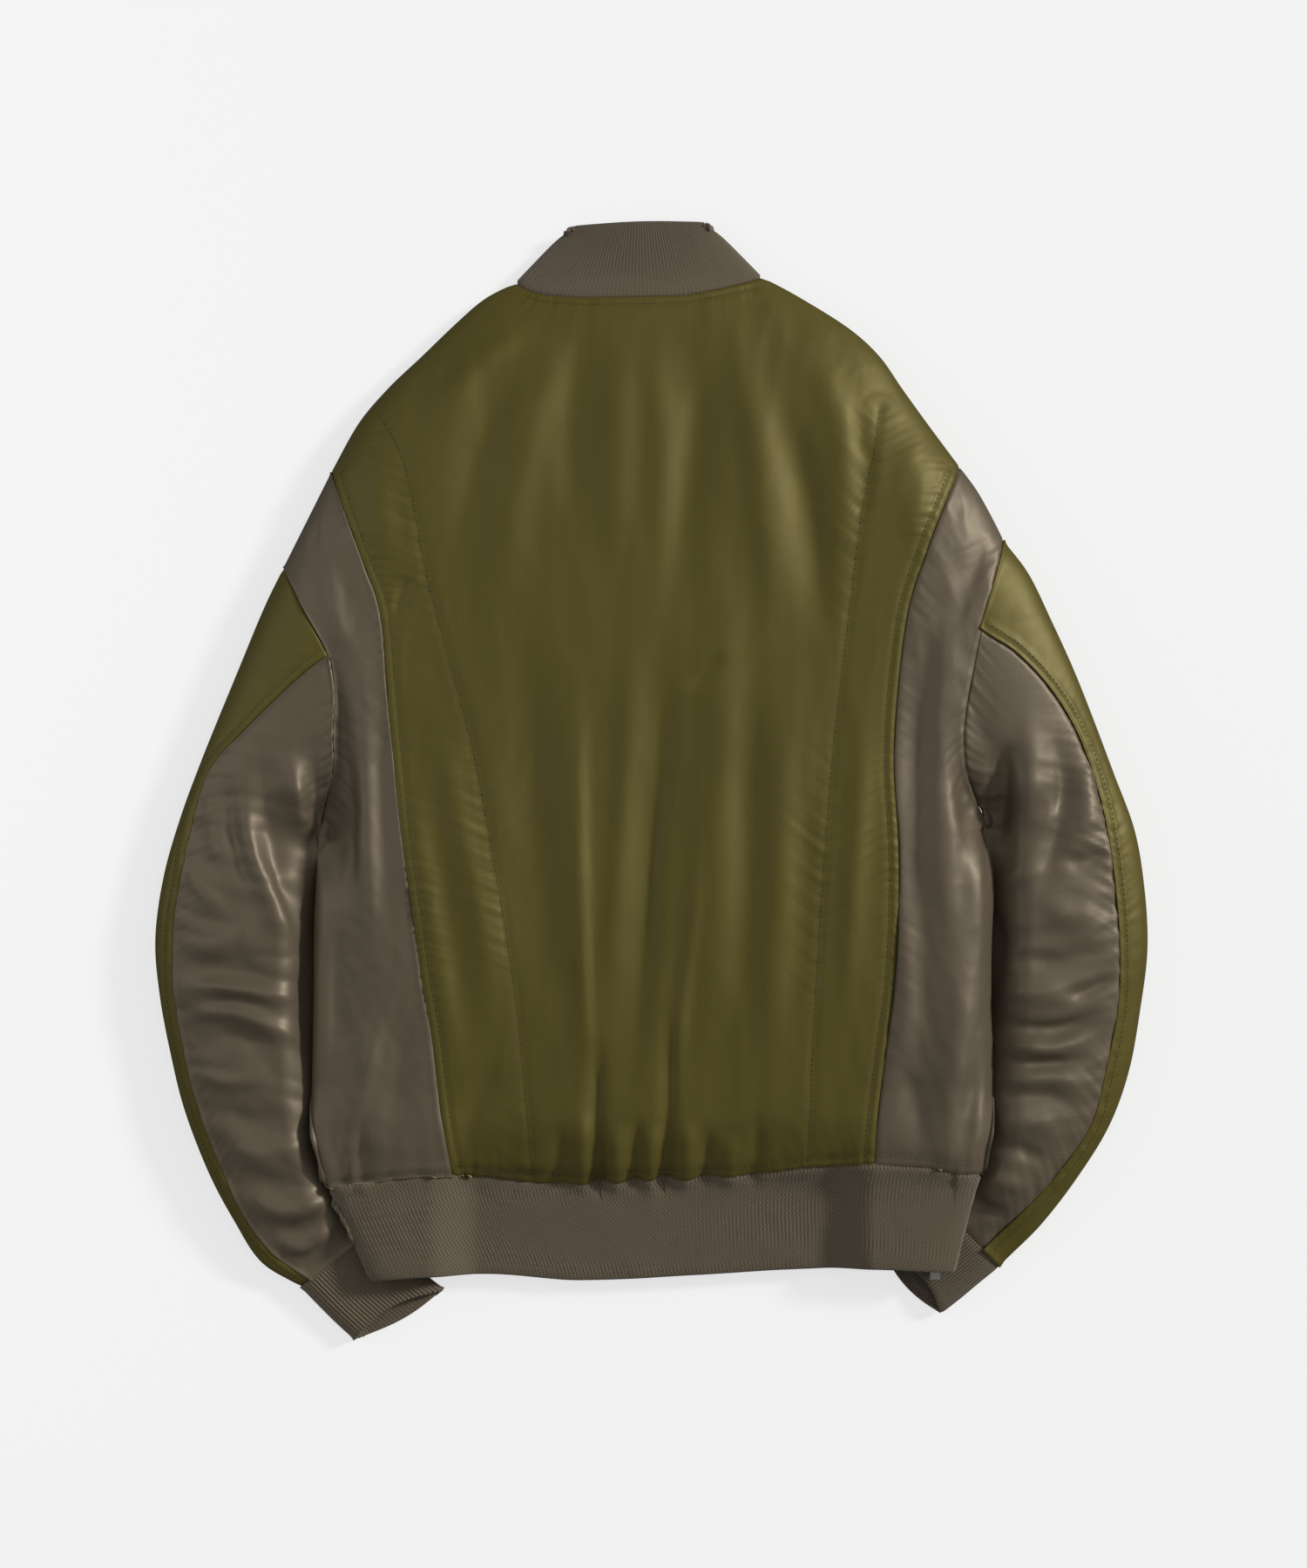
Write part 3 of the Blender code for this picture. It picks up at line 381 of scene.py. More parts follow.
@dataclass(frozen=True)
class Fold:
    """One soft trough, at a depth below 0, or ridge, at a height above 0.

    Args:
        points: the line it follows.
        height: its height in the middle.
        width: how far it reaches to the left of its line.
        other_width: how far it reaches to the right, or the same where it is 0.
        full_start: keeps the start at full height, where the fold runs into a seam.
        full_end: keeps the end at full height.
    """

    points: tuple
    height: float
    width: float
    other_width: float = 0.0
    full_start: bool = False
    full_end: bool = False

    def rise(self, x: Array, y: Array) -> Array:
        """How far it raises the cloth at some points."""
        out = np.zeros_like(x)
        other = self.other_width or self.width
        xs, ys = zip(*self.points)
        reach = 2.6 * max(self.width, other)
        close = ((x > min(xs) - reach) & (x < max(xs) + reach)
                 & (y > min(ys) - reach) & (y < max(ys) + reach))
        if not close.any():
            return out
        line = Line.through(list(self.points), 3.0)
        away, walked = line.measure(x[close], y[close])
        share = walked / line.walked[-1]
        start = 1.0 if self.full_start else ease(share / 0.4)
        end = 1.0 if self.full_end else ease((1 - share) / 0.4)
        out[close] = self.height * start * end * np.where(away > 0, bell(away, self.width), bell(away, other))
        return out


@dataclass(frozen=True)
class Puckers:
    """Short uneven ripples that stitching draws into the cloth on both sides of a line.

    Args:
        line: the stitched line.
        height: how high the ripples stand.
        reach: how far they run out from the line.
        pitch: about how far apart they are.
        slant: how far along they drift for each millimetre out.
        groove: how deep the stitches pull the cloth in.
        seed: which ripples they are.
    """

    line: Line
    height: float = 0.9
    reach: float = 14.0
    pitch: float = 8.0
    slant: float = 0.6
    groove: float = 0.8
    seed: float = 0.0

    def rise(self, x: Array, y: Array) -> Array:
        """How far it raises the cloth at some points."""
        out = np.zeros_like(x)
        low, high = self.line.points.min(0), self.line.points.max(0)
        reach = 2.4 * self.reach
        close = ((x > low[0] - reach) & (x < high[0] + reach)
                 & (y > low[1] - reach) & (y < high[1] + reach))
        if not close.any():
            return out
        away, walked = self.line.measure(x[close], y[close])
        turn = 2 * math.pi / self.pitch
        along = walked + self.slant * np.abs(away) + 31.7 * self.seed
        ripple = (np.sin(turn * along + 2.1 * np.sin(along / 13.0)) * 0.55
                  + np.sin(turn * 1.63 * along + 1.7 * np.sin(along / 29.0)) * 0.3
                  + np.sin(turn * 0.47 * along + self.seed) * 0.35)
        strength = 0.55 + 0.45 * np.sin(along / 41.0 + 2.3 * self.seed)
        spread = self.reach * (0.75 + 0.5 * np.sin(along / 17.0 + self.seed) ** 2)
        inside = 1 - 0.7 * bell(away, 1.5)
        out[close] = (self.height * ripple * strength * np.exp(-np.abs(away) / spread) * inside
                      - self.groove * bell(away, 2.2))
        return out


def crumple(x: Array, y: Array, across: float, along: float, turn: float, seed: float) -> Array:
    """Uneven soft wrinkles from -1 to 1 that run in one direction, with sharper ridges.

    Args:
        x: where, across the jacket.
        y: where, along the jacket.
        across: the wrinkles' spacing.
        along: about how long they are.
        turn: the direction they run in, in degrees from +Y.
        seed: which wrinkles they are.
    """
    cosine, sine = math.cos(math.radians(turn)), math.sin(math.radians(turn))
    flat = np.column_stack([np.ravel(x), np.ravel(y)])
    u = (flat[:, 0] * cosine + flat[:, 1] * sine) / across
    v = (-flat[:, 0] * sine + flat[:, 1] * cosine) / along
    values = [1 - 2.2 * abs(noise.noise((a, b, seed))) for a, b in zip(u, v)]
    return np.array(values).reshape(np.shape(x))


INNER_LINES = {
    LEFT: Line.through([(-195, 262), (-180, 238), (-169, 207), (-159, 151), (-143, 90), (-125, 22),
                        (-109, -64), (-96, -145), (-87, -231), (-84, -281)]),
    RIGHT: Line.through([(161, 262), (156, 225), (148, 188), (138, 108), (128, 22), (121, -64),
                         (115, -157), (110, -272)]),
}


@dataclass
class Folds:
    """All the folds of the jacket, a list for each layer and part."""

    back: list = field(default_factory=lambda: [
        Fold(((-49, 84), (-48, -82), (-44, -188), (-40, -224), (-34, -262)), 2.6, 3.2, 9),
        Fold(((-60, 95), (-62, -20), (-57, -150)), 2.2, 16, 10),
        Fold(((-92, 130), (-84, 20), (-78, -90), (-70, -190)), -2.6, 16, 20),
        Fold(((32, -20), (31, -82), (24, -141), (18, -200), (14, -268)), 1.9, 3.0, 5),
        Fold(((10, 110), (5, 13), (0, -46), (-4, -105), (-9, -164), (-14, -240)), -4.2, 7, 20),
        Fold(((-12, 130), (-16, 20), (-24, -100), (-28, -200)), 2.4, 15, 9),
        Fold(((48, 190), (52, 84), (48, -20), (45, -120), (40, -215)), 3.0, 13, 19),
        Fold(((88, 120), (93, 20), (90, -80), (84, -170), (80, -250)), 3.2, 20, 16),
        Fold(((68, 70), (68, -60), (62, -190)), -1.7, 12),
        Fold(((106, 60), (106, -40), (100, -150), (96, -240)), -2.0, 10),
        Fold(((-85, 305), (-110, 262), (-124, 213), (-134, 150)), -3.2, 10, 15),
        Fold(((-83, 325), (-126, 285), (-158, 243)), 2.6, 9, 12),
        Fold(((-60, 322), (-84, 250), (-98, 180), (-106, 100)), 2.4, 12, 16),
        Fold(((-50, 330), (-56, 250), (-58, 170)), -1.8, 14, 10),
        Fold(((-20, 328), (-24, 230), (-30, 130)), 2.2, 13),
        Fold(((20, 335), (30, 260), (22, 170), (14, 90)), -2.6, 14, 11),
        Fold(((-2, 325), (6, 240), (4, 150)), 1.8, 10),
        Fold(((52, 340), (66, 280), (76, 225), (82, 150), (84, 80)), 2.8, 15, 11),
        Fold(((88, 280), (104, 225), (116, 160), (118, 90)), -3.4, 9, 14),
        Fold(((100, 318), (126, 270), (138, 215), (134, 140)), 2.5, 12),
        Fold(((140, 265), (150, 225), (142, 165)), -2.4, 7, 12),
        Fold(((170, 250), (186, 215), (183, 160)), 1.8, 12),
        Fold(((-186, 240), (-190, 200), (-180, 140)), 1.8, 10),
        Fold(((-168, 148), (-176, 128), (-181, 108)), -1.8, 4),
        Fold(((24, 62), (38, 74), (52, 92)), -1.6, 5),
        Fold(((-150, 60), (-136, -20), (-118, -110), (-112, -200)), 2.4, 11),
        Fold(((-172, 20), (-160, -60), (-145, -150), (-128, -240)), 2.2, 9, 12),
        Fold(((150, 90), (147, 0), (140, -100), (134, -200)), 2.4, 9),
        Fold(((-37, -175), (-38, -230), (-36, -284)), -3.6, 4, 7, full_end=True),
        Fold(((15, -157), (14, -220), (10, -282)), -3.2, 4, 7, full_end=True),
        Fold(((-24, -238), (-25, -284)), 2.6, 6, full_end=True),
        Fold(((-10, -230), (-12, -284)), -2.2, 4, full_end=True),
        Fold(((2, -240), (0, -284)), 2.4, 6, full_end=True),
        Fold(((-46, -232), (-48, -284)), 2.4, 6, full_end=True),
        Fold(((26, -236), (24, -282)), 2.6, 6, full_end=True),
        Fold(((40, -244), (38, -281)), -2.0, 4, full_end=True),
        Fold(((-64, -240), (-66, -284)), -1.8, 5, full_end=True),
        Fold(((56, -246), (56, -281)), 1.8, 6, full_end=True),
        Fold(((75, -230), (72, -280)), -1.8, 5, full_end=True),
        Fold(((-104, -196), (-122, -226), (-134, -262)), -1.6, 6, 9),
    ])
    sides: list = field(default_factory=lambda: [
        Fold(((-228, 110), (-218, 20), (-212, -90), (-212, -262)), 3.6, 16, 30, full_end=True),
        Fold(((226, 110), (218, 20), (214, -90), (214, -262)), 3.6, 30, 16, full_end=True),
        Fold(((-240, 128), (-222, 60), (-214, -20), (-212, -110)), 3.0, 9, 13),
        Fold(((-206, 120), (-202, 40), (-198, -60), (-196, -150)), -3.6, 9, 11),
        Fold(((-192, 60), (-190, -30), (-184, -110)), 2.6, 7, 9),
        Fold(((-190, -165), (-203, -215), (-216, -256)), -3.0, 7, 12),
        Fold(((-170, -150), (-178, -205), (-182, -262)), 3.0, 9, 12),
        Fold(((-222, -90), (-222, -160), (-214, -214)), 2.2, 9),
        Fold(((-232, 178), (-222, 120), (-206, 76)), -2.4, 7, 10),
        Fold(((-196, -228), (-204, -250), (-203, -284)), 1.8, 5, full_end=True),
        Fold(((218, 150), (206, 80), (200, -10), (200, -100)), 3.0, 12, 9),
        Fold(((192, 120), (186, 30), (186, -60), (188, -150)), -3.4, 9, 11),
        Fold(((214, 40), (218, -40), (216, -130)), -2.4, 8),
        Fold(((180, -60), (178, -150), (176, -230)), 2.6, 8, 10),
        Fold(((220, -120), (216, -180), (204, -250)), 2.6, 9, 12),
        Fold(((230, -190), (222, -230), (216, -272)), -2.6, 6, 9),
        Fold(((172, -190), (186, -226), (190, -264)), -2.0, 6, 9),
        Fold(((236, 176), (222, 130), (206, 96)), -2.2, 7, 10),
    ])
    sleeves: list = field(default_factory=lambda: [
        Fold(((-252, 22), (-250, -14), (-244, -52)), -9.0, 9, 7),
        Fold(((-268, 40), (-272, -8), (-262, -64), (-252, -120)), 5.0, 8, 10),
        Fold(((-290, -8), (-280, -50), (-262, -92), (-252, -136)), -6.0, 6, 9),
        Fold(((-300, 16), (-296, -34), (-278, -84)), 4.0, 8),
        Fold(((-330, -58), (-316, -78), (-296, -92)), -3.4, 5, 9),
        Fold(((-322, -14), (-316, -52), (-300, -70)), 2.6, 8),
        Fold(((-340, -142), (-302, -146), (-262, -152), (-238, -164)), -5.4, 5, 9),
        Fold(((-338, -132), (-300, -132), (-262, -136)), 3.6, 8),
        Fold(((-336, -164), (-300, -163), (-268, -172), (-242, -188)), -4.4, 5, 7),
        Fold(((-318, -154), (-290, -154), (-262, -161)), 3.0, 5),
        Fold(((-324, -182), (-290, -180), (-254, -194)), 3.4, 8),
        Fold(((-322, -204), (-296, -212), (-262, -206)), -3.2, 7),
        Fold(((-310, -226), (-280, -240), (-244, -236)), 3.0, 10),
        Fold(((-304, -250), (-276, -262), (-246, -258), (-230, -262)), -3.8, 7, 10),
        Fold(((-292, -278), (-262, -284), (-232, -280)), 3.2, 9),
        Fold(((-286, -296), (-262, -304), (-238, -300), (-220, -290)), -4.4, 6, 7),
        Fold(((-272, -318), (-250, -318), (-226, -304)), 3.6, 6),
        Fold(((-264, -330), (-246, -330), (-222, -314)), -3.6, 5),
        Fold(((-236, -96), (-244, -150), (-240, -208)), 2.6, 7),
        Fold(((-276, -92), (-290, -110), (-318, -114)), -2.8, 7),
        Fold(((248, 34), (247, -8), (244, -52)), -9.0, 7, 9),
        Fold(((262, 60), (266, 8), (262, -50), (256, -104)), 4.6, 10, 8),
        Fold(((284, -54), (304, -58), (324, -48)), -3.6, 6),
        Fold(((282, 40), (290, 0), (284, -40), (272, -84)), -4.6, 9, 6),
        Fold(((302, 20), (308, -20), (302, -50)), 3.0, 8),
        Fold(((270, -86), (296, -96), (324, -92)), 3.4, 10),
        Fold(((250, -122), (284, -128), (326, -118)), -3.4, 8),
        Fold(((287, -154), (308, -148), (330, -134)), -3.6, 5),
        Fold(((240, -146), (272, -150), (300, -146)), 3.6, 8),
        Fold(((238, -168), (262, -174), (292, -173), (324, -160)), -6.4, 5, 8),
        Fold(((244, -184), (280, -188), (318, -178)), 3.8, 6),
        Fold(((240, -196), (272, -200), (316, -196)), -4.2, 5),
        Fold(((248, -212), (280, -210), (312, -214)), 3.2, 6),
        Fold(((240, -226), (272, -222), (304, -228)), -3.6, 6),
        Fold(((236, -246), (262, -240), (294, -248)), 3.2, 8),
        Fold(((234, -262), (258, -260), (282, -272)), -3.6, 6),
        Fold(((232, -280), (250, -284), (270, -290)), 3.0, 7),
        Fold(((222, -292), (240, -304), (258, -308)), -3.6, 5),
        Fold(((240, -80), (246, -120), (242, -156)), -2.6, 6),
    ])
    front: list = field(default_factory=lambda: [
        Fold(((-150, 180), (-120, 60), (-110, -80)), 1.4, 10),
        Fold(((-80, 220), (-70, 60), (-76, -120)), 1.2, 9),
        Fold(((-40, -60), (-44, -160), (-40, -270)), 1.3, 8, full_end=True),
        Fold(((96, 210), (84, 90), (90, -60)), 1.3, 10),
        Fold(((150, 150), (132, 20), (136, -120)), 1.3, 11),
        Fold(((48, -50), (52, -170), (48, -268)), 1.2, 8, full_end=True),
        Fold(((-300, -60), (-270, -100), (-250, -160)), 1.4, 9),
        Fold(((-310, -190), (-270, -210), (-240, -240)), 1.4, 8),
        Fold(((304, -40), (276, -90), (256, -150)), 1.4, 9),
        Fold(((312, -190), (276, -214), (244, -236)), 1.4, 8),
    ])

    strength: dict = field(default_factory=lambda: {
        "back": 1.4, "sides": 1.25, "sleeves": 1.0, "front": 1.0})

    def rise(self, layer: Layer, part: str, x: Array, y: Array) -> Array:
        """How far the folds of a part raise the cloth at some points."""
        folds = self.front if layer is Layer.FRONT else getattr(self, part)
        total = np.zeros_like(x)
        for fold in folds:
            total += fold.rise(x, y)
        return total * self.strength[part]


FOLDS = Folds()


# ---- shaders ----

class Value:
    """A number socket that can be used in sums, as a number is."""

    def __init__(self, paint: "Paint", socket: bpy.types.NodeSocket) -> None:
        self.paint = paint
        self.socket = socket

    def _maths(self, operation: str, *values: "Value | float") -> "Value":
        """A Math node of these values."""
        return self.paint.node("ShaderNodeMath", {"operation": operation}, dict(enumerate(values)))

    def __add__(self, other: "Value | float") -> "Value":
        """The sum."""
        return self._maths("ADD", self, other)

    __radd__ = __add__

    def __sub__(self, other: "Value | float") -> "Value":
        """The difference."""
        return self._maths("SUBTRACT", self, other)

    def __rsub__(self, other: "Value | float") -> "Value":
        """The difference, the other way round."""
        return self._maths("SUBTRACT", other, self)

    def __mul__(self, other: "Value | float") -> "Value":
        """The product."""
        return self._maths("MULTIPLY", self, other)

    __rmul__ = __mul__

    def sine(self) -> "Value":
        """Its sine."""
        return self._maths("SINE", self)

    def held(self) -> "Value":
        """The value, held between 0 and 1."""
        return self.paint.node("ShaderNodeClamp", {}, {0: self})


class Paint:
    """A material under construction."""

    def __init__(self, name: str) -> None:
        self.material = bpy.data.materials.new(name)
        self.material.use_nodes = True
        self.tree = self.material.node_tree
        self.shader = self.tree.nodes["Principled BSDF"]

    def node(self, kind: str, settings: dict, values: dict, output: str | int = 0) -> Value:
        """Adds a node.

        Args:
            kind: the node's type.
            settings: its own settings, set first.
            values: a value or link for each socket, by name or number.
            output: the output that is returned.

        Returns:
            That output, ready for sums.
        """
        node = self.tree.nodes.new(kind)
        for key, setting in settings.items():
            setattr(node, key, setting)
        for key, value in values.items():
            if isinstance(value, Value):
                self.tree.links.new(value.socket, node.inputs[key])
            else:
                node.inputs[key].default_value = value
        return Value(self, node.outputs[output])

    def place(self, source: str) -> Value:
        """Coordinates: Object for a place in the jacket, UV for one on the knit."""
        return self.node("ShaderNodeTexCoord", {}, {}, source)

    def noise(self, at: Value, scale: float, detail: float = 3.0, stretch: tuple = (1, 1, 1)) -> Value:
        """Soft random values about 0.5."""
        placed = self.node("ShaderNodeMapping", {}, {"Vector": at, "Scale": stretch})
        return self.node("ShaderNodeTexNoise", {}, {"Vector": placed, "Scale": scale, "Detail": detail})

    def blend(self, share: Value, dark: tuple, light: tuple) -> Value:
        """A colour between two others."""
        return self.node("ShaderNodeMix", {"data_type": "RGBA"},
                         {0: share, 6: (*dark, 1), 7: (*light, 1)}, 2)

    def set(self, **values: "Value | float | tuple") -> None:
        """Sets the shader's sockets, whose names have _ for a space."""
        for key, value in values.items():
            socket = self.shader.inputs[key.replace("_", " ")]
            if isinstance(value, Value):
                self.tree.links.new(value.socket, socket)
            else:
                socket.default_value = value

    def bump(self, height: Value, strength: float, distance: float) -> Value:
        """A normal from a height."""
        return self.node("ShaderNodeBump", {}, {"Strength": strength, "Distance": distance,
                                                "Height": height})


def scaled(colour: tuple, share: float) -> tuple:
    """A colour made darker or lighter."""
    return tuple(channel * share for channel in colour)


@dataclass(frozen=True)
class SatinNylon:
    """Dyed satin nylon: a fine weave, a soft sheen of its own colour and faint mottling."""

    name: str
    colour: tuple
    sheen: float = 0.30
    roughness: float = 0.50

    def material(self) -> bpy.types.Material:
        """Makes the material."""
        paint = Paint(self.name)
        at = paint.place("Object")
        cloudy = paint.noise(at, 9.0, 2.0)
        streaks = paint.noise(at, 240.0, 3.0, (1, 0.06, 1))
        fine = paint.noise(at, 1100.0, 2.0)
        share = (cloudy * 0.7 + streaks * 0.35 + fine * 0.25 - 0.15).held()
        paint.set(Base_Color=paint.blend(share, scaled(self.colour, 0.84), scaled(self.colour, 1.14)),
                  Metallic=self.sheen, Specular_IOR_Level=0.3,
                  Roughness=self.roughness - 0.04 + streaks * 0.08)
        apart = paint.node("ShaderNodeSeparateXYZ", {}, {0: at}, "X")
        up = paint.node("ShaderNodeSeparateXYZ", {}, {0: at}, "Y")
        weave = (apart * 9000.0).sine() + (up * 12000.0).sine()
        soft = paint.noise(at, 70.0, 4.0)
        paint.set(Normal=paint.bump(soft * 1.6 + weave * 0.05 + fine * 0.25, 0.25, 0.0004))
        return paint.material


@dataclass(frozen=True)
class RibKnit:
    """Dull rib knit with painted shade in its grooves and painted light on its crests, with rows of small stitches
    across the ribs.
    """

    name: str
    colour: tuple
    stitch: float = 1.25

    def material(self) -> bpy.types.Material:
        """Makes the material; the UV map counts ribs across and millimetres along."""
        paint = Paint(self.name)
        at = paint.place("UV")
        across = paint.node("ShaderNodeSeparateXYZ", {}, {0: at}, "X")
        along = paint.node("ShaderNodeSeparateXYZ", {}, {0: at}, "Y")
        # Painted shade and light across each rib: 0 in the groove, where shade falls, and 1 on the crest.
        painted_rib_shade = (across * (2 * math.pi)).sine() * 0.5 + 0.5
        slant = (across * (4 * math.pi)).sine()
        rows = (along * (2 * math.pi / self.stitch) + slant * 1.4).sine()
        fuzz = paint.noise(paint.place("Object"), 900.0, 3.0)
        # The base colour runs from a darker copy in the grooves (painted shade) to a lighter copy on the crests
        # (painted light). Stitch rows and fuzz are mixed in.
        share = (painted_rib_shade * 0.62 + rows * 0.08 + fuzz * 0.5 - 0.1).held()
        paint.set(Base_Color=paint.blend(share, scaled(self.colour, 0.52), scaled(self.colour, 1.3)),
                  Roughness=0.86, Metallic=0.0,
                  Normal=paint.bump(rows * 0.5 + fuzz * 0.8, 0.5, 0.0005))
        paint.set(Sheen_Weight=0.25, Sheen_Roughness=0.5)
        return paint.material


@dataclass(frozen=True)
class Plain:
    """Thread, zip tape or metal, with fine grain and uneven roughness."""

    name: str
    colour: tuple
    roughness: float
    metallic: float = 0.0
    grain: float = 1500.0

    def material(self) -> bpy.types.Material:
        """Makes the material."""
        paint = Paint(self.name)
        grain = paint.noise(paint.place("Object"), self.grain, 3.0)
        paint.set(Base_Color=paint.blend(grain, scaled(self.colour, 0.75), scaled(self.colour, 1.25)),
                  Roughness=self.roughness - 0.08 + grain * 0.16, Metallic=self.metallic,
                  Normal=paint.bump(grain, 0.3, 0.0002))
        return paint.material


class Finishes:
    """Each finish of the jacket, made once."""

    def __init__(self) -> None:
        self.olive = SatinNylon("olive_nylon", (0.104, 0.084, 0.015)).material()
        self.taupe = SatinNylon("taupe_nylon", (0.128, 0.102, 0.068), 0.34, 0.48).material()
        self.knit = RibKnit("rib_knit", (0.125, 0.096, 0.058)).material()
        self.tape = Plain("zip_tape", (0.07, 0.062, 0.036), 0.85).material()
        self.metal = Plain("zip_metal", (0.36, 0.34, 0.30), 0.34, 1.0, 600.0).material()
        self.olive_thread = Plain("olive_thread", (0.060, 0.052, 0.014), 0.6).material()
        self.taupe_thread = Plain("taupe_thread", (0.090, 0.074, 0.054), 0.6).material()


# ---- cloth pieces ----

@dataclass
class Sheet:
    """A cloth piece as a grid of points on its outer face.

    Args:
        name: the piece's name.
        xyz: points by row and column, in millimetres.
        material: its finish.
        node: the CAD node it stands for.
        slot: the record's finish; not used.
        flat: the width and length it was cut to, in metres; not used.
        area: the flat area of its cut, in square metres; not used.
        wall: its thickness.
        torn: a column after which no face is made, where the cloth has an opening.
        uv: ribs across and millimetres along, where the finish needs them.
        uphill: whether the grid's own side already faces outwards.
    """

    name: str
    xyz: Array
    material: bpy.types.Material
    node: str
    slot: str
    flat: tuple
    area: float | None = None
    wall: float = WALL
    torn: int | None = None
    uv: Array | None = None
    uphill: bool = True

    def make(self) -> bpy.types.Object:
        rows, columns = self.xyz.shape[:2]
        bpy.ops.object.select_all(action="DESELECT")
        bpy.ops.mesh.primitive_grid_add(x_subdivisions=columns - 1, y_subdivisions=rows - 1, size=1)
        piece = bpy.context.object
        piece.name = piece.data.name = self.name
        piece.data.vertices.foreach_set("co", (self.xyz * MM).reshape(-1))
        if self.uv is not None:
            layer = piece.data.uv_layers.active.data
            corners = np.empty(len(piece.data.loops), np.int32)
            piece.data.loops.foreach_get("vertex_index", corners)
            layer.foreach_set("uv", self.uv.reshape(-1, 2)[corners].reshape(-1))
        shape = bmesh.new()
        shape.from_mesh(piece.data)
        if self.torn is not None:
            cut = [face for face in shape.faces
                   if {vertex.index % columns for vertex in face.verts} == {self.torn, self.torn + 1}]
            bmesh.ops.delete(shape, geom=cut, context="FACES_ONLY")
        bmesh.ops.remove_doubles(shape, verts=shape.verts, dist=0.02 * MM)
        if not self.uphill:
            bmesh.ops.reverse_faces(shape, faces=shape.faces)
        shape.to_mesh(piece.data)
        shape.free()
        piece.data.shade_smooth()
        piece.data.materials.append(self.material)
        wall = piece.modifiers.new("wall", "SOLIDIFY")
        wall.thickness = self.wall * MM
        wall.offset = -1
        bpy.ops.object.modifier_apply(modifier=wall.name)
        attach(piece, "root")
        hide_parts(self.node)
        log.info("%s: %d faces", self.name, len(piece.data.polygons))
        return piece


def raised(xyz: Array, rise: Array, uphill: bool = True) -> Array:
    """Moves the points of a grid out along its normals."""
    down = np.gradient(xyz, axis=0)
    across = np.gradient(xyz, axis=1)
    normal = np.cross(across, down)
    length = np.linalg.norm(normal, axis=2, keepdims=True)
    normal = np.where(length > 1e-6, normal / np.maximum(length, 1e-6), (0.0, 0.0, 1.0))
    moved = xyz + normal * (rise if uphill else -rise)[..., None]
    moved[..., 2] = np.maximum(moved[..., 2], 0.0)
    return moved


SEAM_GAP = 0.3


def offset(line: Line, distance: float) -> Line:
    """A line beside another one, on its left where the distance is positive."""
    run = np.gradient(line.points, axis=0)
    run /= np.maximum(np.hypot(*run.T), 1e-6)[:, None]
    moved = line.points + distance * np.column_stack([-run[:, 1], run[:, 0]])
    return Line(*moved.T)


def rail_line(rail: Rail, low: float, high: float, count: int = 160) -> Line:
    """A stretch of a rail as a line."""
    return Line(*rail(np.linspace(low, high, count)))


@dataclass
class Stitching:
    """Where the jacket is topstitched, and the puckers that the stitches draw in."""

    inset: float = 6.5

    def __post_init__(self) -> None:
        """Draws the lines."""
        lines = LINES
        row = lines.shoulder_row
        self.back_seams = {side: offset(rail_line(lines.rails[side], 0, row + 0.0), -side * -self.inset)
                           for side in (LEFT, RIGHT)}
        xs = np.linspace(-137, 154, 120)
        self.hem = Line(xs, lines.hem(xs) + self.inset)
        xs = np.linspace(-90, 73, 80)
        self.neck = Line(xs, lines.neck(xs) - 5.0)
        self.strips = {side: offset(rail_line(lines.sleeves[side][1], 0.2, lines.sleeve_rows - 1.0),
                                    side * 6.0) for side in (LEFT, RIGHT)}
        self.side_hems = {}
        for side, low, high in ((LEFT, -226, -141), (RIGHT, 158, 231)):
            xs = np.linspace(low, high, 60)
            self.side_hems[side] = Line(xs, lines.hem(xs) + self.inset)
        self.armholes = {side: lines.armhole[side] for side in (LEFT, RIGHT)}

    def puckers(self, part: str, side: int = 0) -> list[Puckers]:
        """The puckers of a part."""
        if part == "back":
            found = [Puckers(INNER_LINES[s], 1.0, 15, 8.5, 0.7, 1.0, seed=s + 3) for s in (LEFT, RIGHT)]
            found += [Puckers(self.back_seams[s], 0.7, 11, 7.0, 0.5, 0.8, seed=s + 6)
                      for s in (LEFT, RIGHT)]
            found.append(Puckers(self.hem, 0.8, 12, 9.0, 0.2, 0.8, seed=9))
            found.append(Puckers(self.neck, 0.7, 9, 6.0, 0.3, 0.8, seed=11))
            return found
        if part == "side":
            return [Puckers(rail_line(LINES.rails[side], 0, LINES.shoulder_row), 0.7, 12, 8.0, 0.6, 0.0, 21 + side),
                    Puckers(self.side_hems[side], 0.9, 14, 8.0, 0.3, 0.8, 25 + side),
                    Puckers(self.armholes[side], 0.9, 12, 9.0, 0.8, 0.0, 28 + side)]
        if part == "outer":
            return [Puckers(self.strips[side], 0.8, 8, 7.0, 0.5, 0.8, 31 + side)]
        return [Puckers(rail_line(LINES.sleeves[side][1], 0, LINES.sleeve_rows - 1), 1.2, 15, 9.0, 0.7, 0.0, 35 + side),
                Puckers(self.armholes[side], 0.9, 12, 9.0, 0.8, 0.0, 38 + side)]


STITCHING = Stitching()


def pucker_rise(part: str, side: int, x: Array, y: Array) -> Array:
    """How far all the puckers of a part raise it."""
    total = np.zeros_like(x)
    for puckers in STITCHING.puckers(part, side):
        total += puckers.rise(x, y)
    return total


def roll(distance: Array | float, depth: float = 0.9, reach: float = 1.8) -> Array:
    """How far cloth turns down into a seam this near."""
    return -depth * bell(distance, reach)


